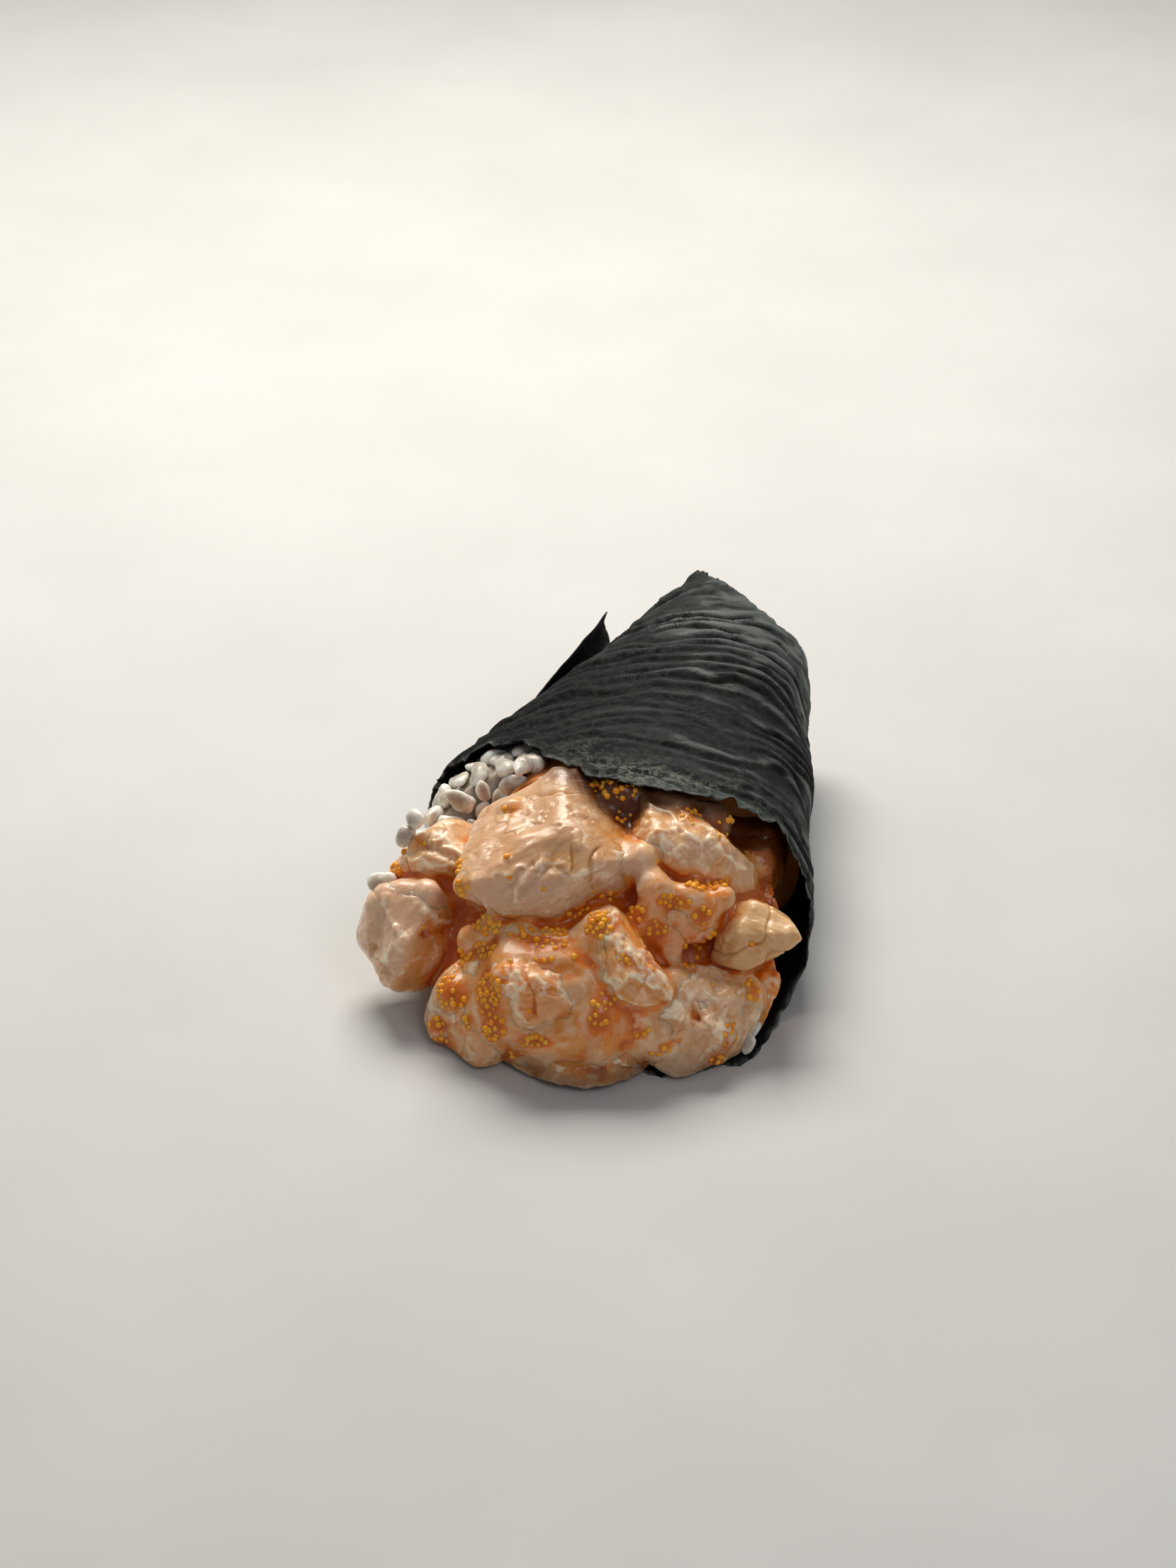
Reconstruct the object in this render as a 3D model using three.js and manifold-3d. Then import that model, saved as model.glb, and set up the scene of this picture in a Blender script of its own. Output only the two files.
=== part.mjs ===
// A hand roll lying on its side: a cone of seaweed round a bed of rice, with a heap of cut scallop,
// dressing and fish roe spilling from its mouth. Millimetres, +Z up, mouth towards -Y, tail towards +Y.
import * as THREE from "three";
import { mergeVertices } from "three/addons/utils/BufferGeometryUtils.js";
import Module from "manifold-3d";

const wasm = await Module();
wasm.setup();

// ---- driving dimensions ----
const STAND = { x: -6.46, y: 2.65 };   // middle of the footprint, moved to the origin at the end
const GAP = 0.3;                      // left between pieces that touch
const SLACK = 0.5;                    // more room between skins that follow the same curve
const SHEET = 0.8;                    // seaweed thickness
const LAP = 1.3;                      // how far the outer turn of the sheet lies off the inner one
const WAVE = 0.45;                    // height of the sheet's slow waves

// The cone is ruled between two flattened rings: centre, half widths to left and right, half height.
const TAIL = { y: 70, x: 24.5, z: 26, left: 18, right: 19, high: 14 };
const MOUTH = { y: -30, x: -8.5, z: 18, left: 54, right: 46.5, high: 29 };
const FULL_WIDTH = 4;                 // forward of this the left side widens no further

// Angles run clockwise from the left side as seen from the mouth: 0 left, 90 top, 180 right, 270 under.
const SHEET_START = -30;              // inner edge of the sheet, low on the left
const SHEET_END = 372;                // outer edge, on the left again, one turn and a bit later
const MOUTH_EDGE = [                  // [angle, how far forward the sheet's front edge reaches]
  [-30, 6], [0, 3], [28, 0], [45, -3], [60, -7], [75, -18], [90, -27], [105, -31], [120, -30],
  [135, -27.5], [150, -27], [165, -32], [180, -36], [195, -40], [207, -48], [214, -58], [221, -64],
  [235, -67], [255, -66], [270, -60], [290, -44], [310, -26], [330, -10], [345, -2], [372, 4],
];
const TAIL_EDGE = [                   // [angle, how far back the sheet's other edge reaches]
  [-30, 58], [0, 65], [20, 72], [38, 79], [50, 80], [62, 76.5], [78, 71], [95, 63.5], [111, 58],
  [133, 54.5], [152, 55], [180, 57], [210, 57], [240, 56], [300, 57], [330, 58], [350, 60], [372, 66],
];
const FLAP = { from: 30, to: 72, angle: 345, out: 10 };   // loose corner of the sheet, standing off

const RICE = { from: -150, to: 70, thick: 8, back: 56 };   // bed that lines the cone
const RICE_FRONT = [                  // [angle, how far forward the rice reaches]
  [-150, -58], [-120, -62], [-90, -54], [-60, -42], [-30, -31], [0, -24], [30, -17], [55, -13], [70, -20],
];
const GRAIN = { long: 6.2, wide: 3.1 };
const EGG = 1.7;                      // diameter of a roe egg
const FILLING_RINGS = [53, 36, 18, 0, -20];              // places along Y, tail first

// How finely each form is faceted: steps round and along, or splits of an icosahedron's faces.
const SHEET_GRID = { round: 32, along: 8 };
const BED_GRID = { round: 18, along: 7 };
const FILLING_ROUND = 18;
const DETAIL = { heap: 2, small: 2, large: 3, largeFrom: 23 };

// The heap's face leans back: across is +X, up runs up the face, out stands off it.
const FACE = { x: -10, y: -48, z: 30, lean: 33 };

// Cut pieces of scallop, front ones first. corners: outline on the face (across, up); out: how far the
// middle stands off the face; front: facets (slope to the right, slope upwards, height over the
// middle); back: depth behind it; edge: how sharp its edges are; folds: creases from, to, depth, width.
const PIECES = [
  { name: "scallop_front_wedge",
    corners: [[2, -3], [8, -2], [12, -7], [19, -18], [15, -21], [9, -20], [2, -17], [-2, -9]],
    out: 4, front: [[-0.3, 0.2, 6.5], [1, 0.93, 11.8]], back: 10, edge: 14 },
  { name: "scallop_front_ridge",
    corners: [[1, -15], [8, -16], [11, -21], [11, -31], [6, -33], [1, -26]],
    out: 5, front: [[-0.5, 0.15, 4.8], [0.6, 0.1, 5]], back: 8, edge: 10 },
  { name: "scallop_right_tip",
    corners: [[30, -1], [36, -1], [43, -4.5], [44.5, -8], [39, -12], [34, -14], [28, -12], [29, -6]],
    out: -5, front: [[0.05, 0.6, 5.5], [0.1, -0.45, 6.2]], back: 9, edge: 20 },
  { name: "scallop_top",
    corners: [
      [-2, 27.5], [11, 14], [14.5, 9.5], [9, 1], [1, -5.5], [-12, -5.5], [-22, 2], [-23, 7], [-19, 18],
    ],
    out: -5, front: [[-0.1, 0.5, 9.5], [-0.11, -0.43, 12.3], [1, -0.93, 22.8]], back: 9, edge: 22,
    folds: [[[-5, 7], [-12, 1], 0.7, 0.9], [[-9, 6.5], [-15, 2], 0.6, 0.9]] },
  { name: "scallop_front",
    corners: [[-17, -12], [-12, -9], [-5, -13], [3, -14], [5, -24], [3, -31], [-12, -32], [-15, -22]],
    out: 1, front: [[0.1, 1, 14.4], [-0.05, -0.2, 9.5]], back: 12, edge: 14,
    folds: [[[-12, -14], [-12, -13.5], -1.4, 4]] },
  { name: "scallop_front_slab",
    corners: [[-16, -28], [-2, -28], [9, -29], [14, -33], [13, -35.5], [2, -37], [-15, -35]],
    out: 2.5, front: [[0.15, 1.1, 7.6], [0, -0.4, 7.4]], back: 12, edge: 18 },
  { name: "scallop_low_right",
    corners: [
      [19, -15], [27, -14], [33, -15], [37, -22], [36, -26], [31, -34], [22, -36], [13, -30], [12, -23],
    ],
    out: -2, front: [[0.15, 0.5, 8.5], [0.05, -0.35, 8.5], [0.8, -0.1, 12]], back: 12, edge: 14,
    folds: [
      [[20, -19], [24, -24], 1, 1.2], [[24, -24], [22, -31], 0.8, 1.3], [[28, -16], [29, -24], 0.9, 1.2],
      [[29, -24], [33, -27], 0.7, 1.2],
    ] },
  { name: "scallop_right",
    corners: [[11, 21], [15, 22], [27, 15], [36.5, 6], [35.5, 1], [26, -1], [14, 0], [11.5, 7], [10, 14]],
    out: -9, front: [[0.35, 0.5, 9], [-0.15, -0.35, 9]], back: 9, edge: 15,
    folds: [[[14, 9], [19, 4], 0.8, 1.2], [[19, 4], [31, 4], 0.5, 1.4]] },
  { name: "scallop_right_under",
    corners: [[12.5, 3], [21, 1.5], [33, 0.5], [31, -4.5], [24, -8.5], [17, -9], [12, -4]],
    out: -6.5, front: [[0.1, 0.3, 7.6], [0.15, -0.35, 7.8]], back: 8, edge: 10 },
  { name: "scallop_low_left",
    corners: [
      [-22, -11], [-17, -8], [-13, -14], [-14, -23], [-12, -33], [-21, -33], [-29, -30], [-31, -25],
      [-29, -19],
    ],
    out: -5, front: [[-0.35, 0.4, 8.5], [-0.3, -0.35, 8.5], [0.35, 0.1, 8.5]], back: 11, edge: 12,
    folds: [[[-24, -13], [-21, -25], 0.8, 1.6]] },
  { name: "scallop_left_slab",
    corners: [
      [-41, 2], [-24, 3], [-18, -2], [-21, -8], [-29, -17], [-35, -19], [-40, -17], [-45, -10], [-45, -5],
    ],
    out: -14, front: [[-0.25, 0.35, 8.5], [-0.3, -0.2, 8.5], [0.9, -1.09, 11.5]], back: 9, edge: 14,
    folds: [
      [[-40, -2], [-42, -10], 1.1, 1.3], [[-42, -10], [-38, -17], 0.9, 1.3],
      [[-29, -1], [-31, -7], 0.9, 1.2], [[-31, -7], [-26, -6], 0.7, 1.2],
    ] },
  { name: "scallop_left_fold",
    corners: [[-32, 13], [-28, 16], [-20, 15], [-18, 8], [-23, 0], [-36, 0], [-39, 5]],
    out: -18, front: [[-0.3, 0.45, 8], [-0.2, -0.4, 8]], back: 8, edge: 12,
    folds: [[[-32, 11], [-23, 7], 1, 1], [[-31, 8], [-24, 5], 0.9, 0.9], [[-35, 5], [-25, 3], 0.9, 1.2]] },
  { name: "scallop_right_edge",
    corners: [[34, -14], [40, -12], [41, -18], [37, -27], [34, -22]],
    out: -9, front: [[0.3, 0, 4]], back: 8, edge: 9 },
  { name: "scallop_right_back",
    corners: [[36, 7], [40, 3], [42, -7], [37, -8], [32, 0]],
    out: -16, front: [[0.2, 0.1, 4]], back: 8, edge: 9 },
  { name: "scallop_inside",
    corners: [[22, 21], [34, 20], [43, 14], [44, 6], [41, 2], [35, 5], [26, 13]],
    out: -22, front: [[0.2, 0.1, 5]], back: 8, edge: 9 },
];

// Where the roe lies on the face: across, up, spread across, spread up, how many.
const ROE = [
  [-25, -19, 2.6, 3.2, 8], [-20, -14, 2.2, 3, 6], [-18, -24, 2.4, 3.6, 8], [-29, -27, 2.4, 1.6, 3],
  [-9, -29, 3.4, 1.2, 4], [5, -3, 3.4, 1.4, 5], [-1, -7, 3, 1.5, 4], [6, -5.5, 2.6, 2, 6],
  [-13, -8, 4, 2, 7], [-22, -6, 3, 3, 4], [-6, -11, 4, 1.4, 5], [5, -21, 1.8, 4, 7], [9, -14, 2, 4, 4],
  [14, -27, 1.6, 3.6, 6], [22, -30, 3.6, 1.2, 5], [17, -1, 4, 1.2, 5], [24, 1, 3, 2, 6], [16, -3.5, 2, 2, 4],
  [23, -3.5, 2, 1, 3], [34, -18, 2, 3, 5], [27, -15, 4, 1.4, 4], [22, -9, 4, 1.6, 4], [7, 21, 4, 2.4, 7],
  [-15, 17, 2.4, 1.4, 4], [30, -32, 2, 2.5, 3], [30, 13, 4, 3, 3], [-34, 10, 2, 4, 3], [-2, 6, 18, 14, 4],
];

// ---- small tools ----
const rad = Math.PI / 180;
const lerp = (a, b, t) => a + (b - a) * t;
const smooth = (x, a, b) => {
  const t = Math.min(1, Math.max(0, (x - a) / (b - a)));
  return t * t * (3 - 2 * t);
};

// A value read off [place, value] pairs, in straight lines between neighbours.
function along(pairs, x) {
  if (x <= pairs[0][0]) return pairs[0][1];
  for (let i = 1; i < pairs.length; i++) {
    if (x <= pairs[i][0]) {
      const t = (x - pairs[i - 1][0]) / (pairs[i][0] - pairs[i - 1][0]);
      return lerp(pairs[i - 1][1], pairs[i][1], t);
    }
  }
  return pairs[pairs.length - 1][1];
}

// Seeded random numbers, the same on every run.
function dice(seed) {
  let s = seed;
  return () => {
    s = (s * 16807) % 2147483647;
    return s / 2147483647;
  };
}

function solid(geometry) {
  const bare = geometry.clone();
  bare.deleteAttribute("normal");
  bare.deleteAttribute("uv");
  const merged = mergeVertices(bare, 1e-4);
  return new wasm.Manifold(new wasm.Mesh({
    numProp: 3,
    vertProperties: new Float32Array(merged.attributes.position.array),
    triVerts: new Uint32Array(merged.index.array),
  }));
}

function surface(manifold) {
  const mesh = manifold.getMesh();
  const geometry = new THREE.BufferGeometry();
  geometry.setAttribute("position", new THREE.BufferAttribute(new Float32Array(mesh.vertProperties), 3));
  geometry.setIndex(new THREE.BufferAttribute(new Uint32Array(mesh.triVerts), 1));
  geometry.computeVertexNormals();
  return geometry;
}

// The largest body of a solid; cutting can leave loose scraps behind.
function largest(manifold) {
  const bodies = manifold.decompose();
  bodies.sort((a, b) => b.volume() - a.volume());
  return bodies[0];
}

// A closed skin from a grid of outer points and a matching grid of inner points.
function slab(outer, inner) {
  const rows = outer.length;
  const cols = outer[0].length;
  const points = [];
  const faces = [];
  for (const grid of [outer, inner]) for (const row of grid) for (const p of row) points.push(p.x, p.y, p.z);
  const at = (side, i, j) => side * rows * cols + i * cols + j;
  const quad = (a, b, c, d) => faces.push(a, b, c, a, c, d);
  for (let i = 0; i + 1 < rows; i++) {
    for (let j = 0; j + 1 < cols; j++) {
      quad(at(0, i, j), at(0, i, j + 1), at(0, i + 1, j + 1), at(0, i + 1, j));
      faces.push(at(1, i, j), at(1, i + 1, j + 1), at(1, i, j + 1));
      faces.push(at(1, i, j), at(1, i + 1, j), at(1, i + 1, j + 1));
    }
    quad(at(0, i, 0), at(0, i + 1, 0), at(1, i + 1, 0), at(1, i, 0));
    quad(at(0, i + 1, cols - 1), at(0, i, cols - 1), at(1, i, cols - 1), at(1, i + 1, cols - 1));
  }
  for (let j = 0; j + 1 < cols; j++) {
    quad(at(0, 0, j + 1), at(0, 0, j), at(1, 0, j), at(1, 0, j + 1));
    quad(at(0, rows - 1, j), at(0, rows - 1, j + 1), at(1, rows - 1, j + 1), at(1, rows - 1, j));
  }
  const geometry = new THREE.BufferGeometry();
  geometry.setAttribute("position", new THREE.Float32BufferAttribute(points, 3));
  geometry.setIndex(faces);
  return geometry;
}

// ---- the cone ----
// A point of the cone at an angle and a distance along Y, without the lap of the sheet.
function conePoint(angle, y) {
  const t = (TAIL.y - y) / (TAIL.y - MOUTH.y);
  const a = angle * rad;
  const side = Math.cos(a) > 0 ? "left" : "right";
  const spread = side === "left" ? Math.min(t, (TAIL.y - FULL_WIDTH) / (TAIL.y - MOUTH.y)) : t;
  const wide = lerp(TAIL[side], MOUTH[side], spread);
  const high = lerp(TAIL.high, MOUTH.high, t);
  const slow = Math.sin(3 * a + 0.05 * y) + 0.5 * Math.sin(2 * a + 0.19 * y);
  const wave = WAVE * (slow + 0.7 * Math.sin(5 * a - 0.11 * y));
  const x = lerp(TAIL.x, MOUTH.x, t) - (wide + wave) * Math.cos(a);
  const z = lerp(TAIL.z, MOUTH.z, t) + (high + wave) * Math.sin(a);
  return new THREE.Vector3(x, y, z);
}

function coneNormal(angle, y) {
  const du = conePoint(angle + 1, y).sub(conePoint(angle - 1, y));
  const dv = conePoint(angle, y + 1).sub(conePoint(angle, y - 1));
  return du.cross(dv).normalize();
}

// The cone's skin set in (negative) or out (positive), pressed flat where it meets the table.
function skin(angle, y, out, floor) {
  const p = conePoint(angle, y).addScaledVector(coneNormal(angle, y), out);
  p.z = Math.max(p.z, floor);
  return p;
}

// How far the sheet stands off the cone: the lap, then the loose corner near the tail.
function standOff(angle, y) {
  const lap = LAP * smooth(angle, 285, 328);
  const lift = Math.min(1, Math.max(0, (y - FLAP.from) / (FLAP.to - FLAP.from))) ** 1.2;
  return lap + FLAP.out * lift * smooth(angle, FLAP.angle, SHEET_END) ** 1.5;
}

function makeSheet(grow) {
  const outer = [];
  const inner = [];
  for (let i = 0; i <= SHEET_GRID.round; i++) {
    const angle = lerp(SHEET_START, SHEET_END, i / SHEET_GRID.round);
    const ragged = 0.9 * Math.sin(angle * 0.31) + 0.6 * Math.sin(angle * 0.83 + 1);
    const front = along(MOUTH_EDGE, angle) + ragged - grow;
    const back = along(TAIL_EDGE, angle) + 0.4 * ragged + grow;
    const outerRow = [];
    const innerRow = [];
    for (let j = 0; j <= SHEET_GRID.along; j++) {
      const y = lerp(back, front, j / SHEET_GRID.along);
      const out = standOff(angle, y);
      outerRow.push(skin(angle, y, out + SHEET / 2 + grow, -grow));
      innerRow.push(skin(angle, y, out - SHEET / 2 - grow, SHEET + grow));
    }
    outer.push(outerRow);
    inner.push(innerRow);
  }
  return slab(outer, inner);
}

// ---- the rice bed ----
// Thickness of the rice at an angle: a crescent, thickest low on the left.
function riceThick(angle) {
  const end = smooth(angle, RICE.from, RICE.from + 45) * (1 - smooth(angle, RICE.to - 30, RICE.to));
  const under = 1 - 0.45 * smooth(-angle, 20, 80);
  return 1.5 + (RICE.thick * under - 1.5) * end;
}

function riceBed(grow) {
  const outer = [];
  const inner = [];
  for (let i = 0; i <= BED_GRID.round; i++) {
    const angle = lerp(RICE.from - grow, RICE.to + grow, i / BED_GRID.round);
    const outerRow = [];
    const innerRow = [];
    const front = along(RICE_FRONT, angle) - grow;
    for (let j = 0; j <= BED_GRID.along; j++) {
      const y = lerp(RICE.back + grow, front, j / BED_GRID.along);
      const inset = -SHEET / 2 - GAP - SLACK * (1 + smooth(-angle, 80, 120));
      const low = SHEET + GAP + SLACK * (1 + 2 * smooth(-angle, 80, 120));
      const thick = riceThick(angle) * (1 + 0.1 * Math.sin(0.2 * y + 0.07 * angle));
      outerRow.push(skin(angle, y, inset + grow, low - grow));
      innerRow.push(skin(angle, y, inset - thick - grow, low + thick * 0.6 + grow));
    }
    outer.push(outerRow);
    inner.push(innerRow);
  }
  return slab(outer, inner);
}

// ---- the heap ----
function onFace(across, up, out) {
  const sin = Math.sin(FACE.lean * rad);
  const cos = Math.cos(FACE.lean * rad);
  return new THREE.Vector3(FACE.x + across, FACE.y + up * sin - out * cos, FACE.z + up * cos + out * sin);
}

// The planes that bound a piece, as [direction, distance from its middle].
function bounds(piece) {
  const n = piece.corners.length;
  const middle = [0, 1].map((k) => piece.corners.reduce((sum, c) => sum + c[k], 0) / n);
  const planes = [[new THREE.Vector3(0, 0, -1), piece.back]];
  for (const [right, up, height] of piece.front) {
    const facing = new THREE.Vector3(right, up, 1);
    planes.push([facing.clone().normalize(), height / facing.length()]);
  }
  piece.corners.forEach((a, i) => {
    const b = piece.corners[(i + 1) % n];
    const side = new THREE.Vector3(-(b[1] - a[1]), b[0] - a[0], 0).normalize();
    const distance = side.x * (a[0] - middle[0]) + side.y * (a[1] - middle[1]);
    planes.push([side, distance * 1.05 + 0.3]);
  });
  return { middle, planes };
}

// How far the piece's surface is from its middle in a direction on the face.
function reach(piece, shape, direction) {
  let sum = 0;
  for (const [facing, distance] of shape.planes) {
    const d = facing.dot(direction);
    if (d > 0) sum += (d / distance) ** piece.edge;
  }
  let r = sum ** (-1 / piece.edge);
  const [u, v, w] = [direction.x, direction.y, direction.z];
  const k = piece.corners[0][0];
  r *= 1 + 0.03 * (Math.sin(4.3 * u + 2.1 * v + k) + Math.sin(3.7 * v - 3.1 * w + 2 * k));
  for (const [from, to, depth, width] of piece.folds ?? []) {
    if (w <= 0) continue;
    const x = u * r + shape.middle[0] - from[0];
    const y = v * r + shape.middle[1] - from[1];
    const [dx, dy] = [to[0] - from[0], to[1] - from[1]];
    const t = Math.min(1, Math.max(0, (x * dx + y * dy) / (dx * dx + dy * dy)));
    r -= depth * Math.exp(-(((x - dx * t) ** 2 + (y - dy * t) ** 2) / width ** 2));
  }
  return r;
}

function makePiece(piece, grow, detail) {
  const shape = bounds(piece);
  const size = [0, 1].map((k) => Math.max(...piece.corners.map((c) => Math.abs(c[k] - shape.middle[k]))));
  const geometry = new THREE.IcosahedronGeometry(1, detail);
  const place = geometry.attributes.position;
  const direction = new THREE.Vector3();
  for (let i = 0; i < place.count; i++) {
    direction.fromBufferAttribute(place, i);
    direction.set(direction.x * size[0], direction.y * size[1], direction.z * piece.back).normalize();
    direction.multiplyScalar(reach(piece, shape, direction) + grow);
    const p = onFace(direction.x + shape.middle[0], direction.y + shape.middle[1], direction.z + piece.out);
    place.setXYZ(i, p.x, p.y, p.z);
  }
  return solid(geometry);
}

// How far a point on the face lies outside a piece, measured from the piece's middle.
function clearance(piece, p) {
  const shape = piece.shape;
  const local = new THREE.Vector3(p[0] - shape.middle[0], p[1] - shape.middle[1], p[2] - piece.out);
  const length = local.length();
  return length - reach(piece, shape, local.divideScalar(length));
}

// The dressed filling that the pieces sit in, where it heaps up behind them.
const HEAP = {
  corners: [
    [-28, 8], [-17, 17], [-2, 23], [14, 23], [33, 12], [37, -6], [33, -24], [18, -33], [-10, -34], [-27, -28],
    [-35, -10],
  ],
  out: -19, front: [[0.4, 0.35, 18.5], [-0.45, 0.35, 18.5], [0, -0.6, 21]], back: 16, edge: 6,
};

// The same filling inside the cone: rings within the sheet and the bed, closed by a fan at each end.
function coneFilling(grow) {
  const points = [];
  const faces = [];
  const last = FILLING_RINGS.length - 1;
  FILLING_RINGS.forEach((y, row) => {
    for (let i = 0; i < FILLING_ROUND; i++) {
      const turn = (360 * i) / FILLING_ROUND;
      const angle = turn > RICE.to + 20 ? turn - 360 : turn;
      const inRice = angle > RICE.from - 6 && angle < RICE.to + 6;
      const depth = inRice ? riceThick(angle) * 1.12 + GAP : 0;
      const inset = SHEET / 2 + GAP + 2 * SLACK + depth - grow;
      const floor = SHEET + GAP + SLACK + 0.75 * depth - grow;
      const p = skin(angle, row === last ? y - grow : y, -inset, floor);
      points.push(p.x, p.y, p.z);
    }
  });
  const at = (row, i) => row * FILLING_ROUND + (i % FILLING_ROUND);
  for (let row = 0; row < last; row++) {
    for (let i = 0; i < FILLING_ROUND; i++) {
      faces.push(at(row, i), at(row + 1, i + 1), at(row, i + 1));
      faces.push(at(row, i), at(row + 1, i), at(row + 1, i + 1));
    }
  }
  for (const row of [0, last]) {
    const hub = points.length / 3;
    const t = (TAIL.y - FILLING_RINGS[row]) / (TAIL.y - MOUTH.y);
    const y = FILLING_RINGS[row] + (row === last ? -grow : grow);
    points.push(lerp(TAIL.x, MOUTH.x, t) + 4, y, lerp(TAIL.z, MOUTH.z, t) + 4);
    for (let i = 0; i < FILLING_ROUND; i++) {
      const [from, to] = row === last ? [i + 1, i] : [i, i + 1];
      faces.push(hub, at(row, from), at(row, to));
    }
  }
  const geometry = new THREE.BufferGeometry();
  geometry.setAttribute("position", new THREE.Float32BufferAttribute(points, 3));
  geometry.setIndex(faces);
  return solid(geometry);
}

// ---- grains and eggs ----
function toFace(p) {
  const sin = Math.sin(FACE.lean * rad);
  const cos = Math.cos(FACE.lean * rad);
  const [y, z] = [p.y - FACE.y, p.z - FACE.z];
  return [p.x - FACE.x, y * sin + z * cos, z * sin - y * cos];
}

// A place is clear when every other piece stays further off than the margin.
function isClear(p, margin, host) {
  return [...PIECES, HEAP].every((piece) => piece === host || clearance(piece, toFace(p)) > margin);
}

function apart(list, p, distance) {
  return list.every((q) => q.distanceTo(p) > distance);
}

// The front edge of whatever turn of the sheet lies over the bed at an angle.
function coverEdge(angle) {
  const turn = angle >= SHEET_START ? along(MOUTH_EDGE, angle) : Infinity;
  const lap = angle + 360 <= SHEET_END ? along(MOUTH_EDGE, angle + 360) : Infinity;
  return Math.min(turn, lap);
}

// Places for rice grains: the bed's bare outside, its front and its back end.
function grainPlaces() {
  const chance = dice(7);
  const places = [];
  const keep = (p, margin) => {
    if (apart(places, p, 0.75 * GRAIN.long) && isClear(p, margin)) places.push(p);
  };
  for (let angle = RICE.from + 4; angle <= RICE.to - 4; angle += 5) {
    const front = along(RICE_FRONT, angle);
    const depth = SHEET / 2 + GAP;
    for (let y = front; y < coverEdge(angle) - 0.6 * GRAIN.long; y += 0.55 * GRAIN.long) {
      keep(skin(angle + 2 * chance(), y, -depth, 2 * SHEET + GRAIN.wide / 2), 1.6);
    }
    if (coverEdge(angle) < front + GRAIN.long && angle > RICE.from + 25) continue;
    for (const [share, back] of [[0.45, 0], [0.95, 1], [1, 6], [1, 11]]) {
      keep(skin(angle, front + back, -depth - share * riceThick(angle), 2 * SHEET + GRAIN.wide / 2), 1.6);
    }
  }
  for (let angle = RICE.from + 20; angle <= RICE.to - 20; angle += 14) {
    keep(skin(angle, RICE.back, -SHEET - GRAIN.wide, 0), 0);
  }
  return places;
}

function makeGrain(p, chance) {
  const grain = new THREE.SphereGeometry(0.5, 5, 3);
  const size = 0.9 + 0.2 * chance();
  grain.scale(GRAIN.wide * size, GRAIN.long * size, 0.85 * GRAIN.wide * size);
  grain.rotateX(0.6 * (chance() - 0.5));
  grain.rotateZ(Math.PI * chance());
  grain.rotateX((FACE.lean - 90) * rad * chance());
  grain.translate(p.x, p.y, p.z);
  return solid(grain);
}

// The first thing met coming in from the front at a place on the face.
function firstHit(across, up) {
  for (let out = 22; out > -30; out -= 0.2) {
    const host = [...PIECES, HEAP].find((piece) => clearance(piece, [across, up, out]) < 0);
    if (host) return { host, out };
  }
  return null;
}

// Eggs stand half proud of what they lie on, each well clear of its neighbours' hosts.
function eggPlaces() {
  const chance = dice(41);
  const scatter = () => chance() + chance() + chance() - 1.5;
  const places = [];
  for (const [across, up, wide, high, count] of ROE) {
    let left = count;
    for (let i = 0; i < 5 * count && left > 0; i++) {
      const a = across + wide * scatter();
      const b = up + high * scatter();
      const hit = firstHit(a, b);
      if (!hit) continue;
      const p = onFace(a, b, hit.out + 0.15 * EGG);
      if (p.z < 3 || !isClear(p, EGG / 2 + 2 * GAP, hit.host)) continue;
      if (!apart(places.map((place) => place.p), p, 0.95 * EGG)) continue;
      places.push({ p, host: hit.host });
      left -= 1;
    }
  }
  return places;
}

function makeEgg(p) {
  const egg = new THREE.SphereGeometry(EGG / 2, 6, 2);
  egg.rotateX((180 - FACE.lean) * rad);
  egg.translate(p.x, p.y, p.z);
  return solid(egg);
}

// ---- build ----
const handRoll = new THREE.Group();

function add(name, manifold, color, roughness) {
  const material = new THREE.MeshStandardMaterial({ color, roughness, metalness: 0 });
  const mesh = new THREE.Mesh(surface(manifold), material);
  mesh.name = name;
  mesh.position.set(-STAND.x, -STAND.y, 0);
  handRoll.add(mesh);
}

for (const piece of [...PIECES, HEAP]) piece.shape = bounds(piece);
for (const piece of PIECES) {
  const [first, ...others] = piece.corners;
  const wide = Math.max(...others.map((c) => Math.hypot(c[0] - first[0], c[1] - first[1])));
  piece.detail = wide > DETAIL.largeFrom ? DETAIL.large : DETAIL.small;
  piece.room = makePiece(piece, GAP, piece.detail);
}

const above = solid(new THREE.BoxGeometry(300, 300, 100).translate(0, 0, 50 + SHEET + GAP));
const sheetRoom = solid(makeSheet(GAP));
const bedRoom = solid(riceBed(1.5 * GAP));
const fillingRoom = makePiece(HEAP, GAP, DETAIL.heap).add(coneFilling(GAP));
const rooms = [sheetRoom, fillingRoom, ...PIECES.map((piece) => piece.room)];

add("nori_sheet", solid(makeSheet(0)), 0x1d2320, 0.45);

const grainDice = dice(3);
const grains = grainPlaces().map((p) => makeGrain(p, grainDice));
const fitting = grains.filter((grain) => rooms.every((room) => grain.intersect(room).isEmpty()));
add("rice_bed", largest(fitting.reduce((bed, grain) => bed.add(grain), solid(riceBed(0)))), 0xe9e6df, 0.5);

const eggs = eggPlaces();
const withEggs = (body, host) =>
  eggs.filter((egg) => egg.host === host).reduce((all, egg) => all.add(makeEgg(egg.p)), body);

const core = makePiece(HEAP, 0, DETAIL.heap).add(coneFilling(0)).intersect(above);
const filling = largest(core.subtract(sheetRoom).subtract(bedRoom));
add("dressed_filling", largest(withEggs(filling, HEAP)), 0xe08a4e, 0.35);

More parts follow.
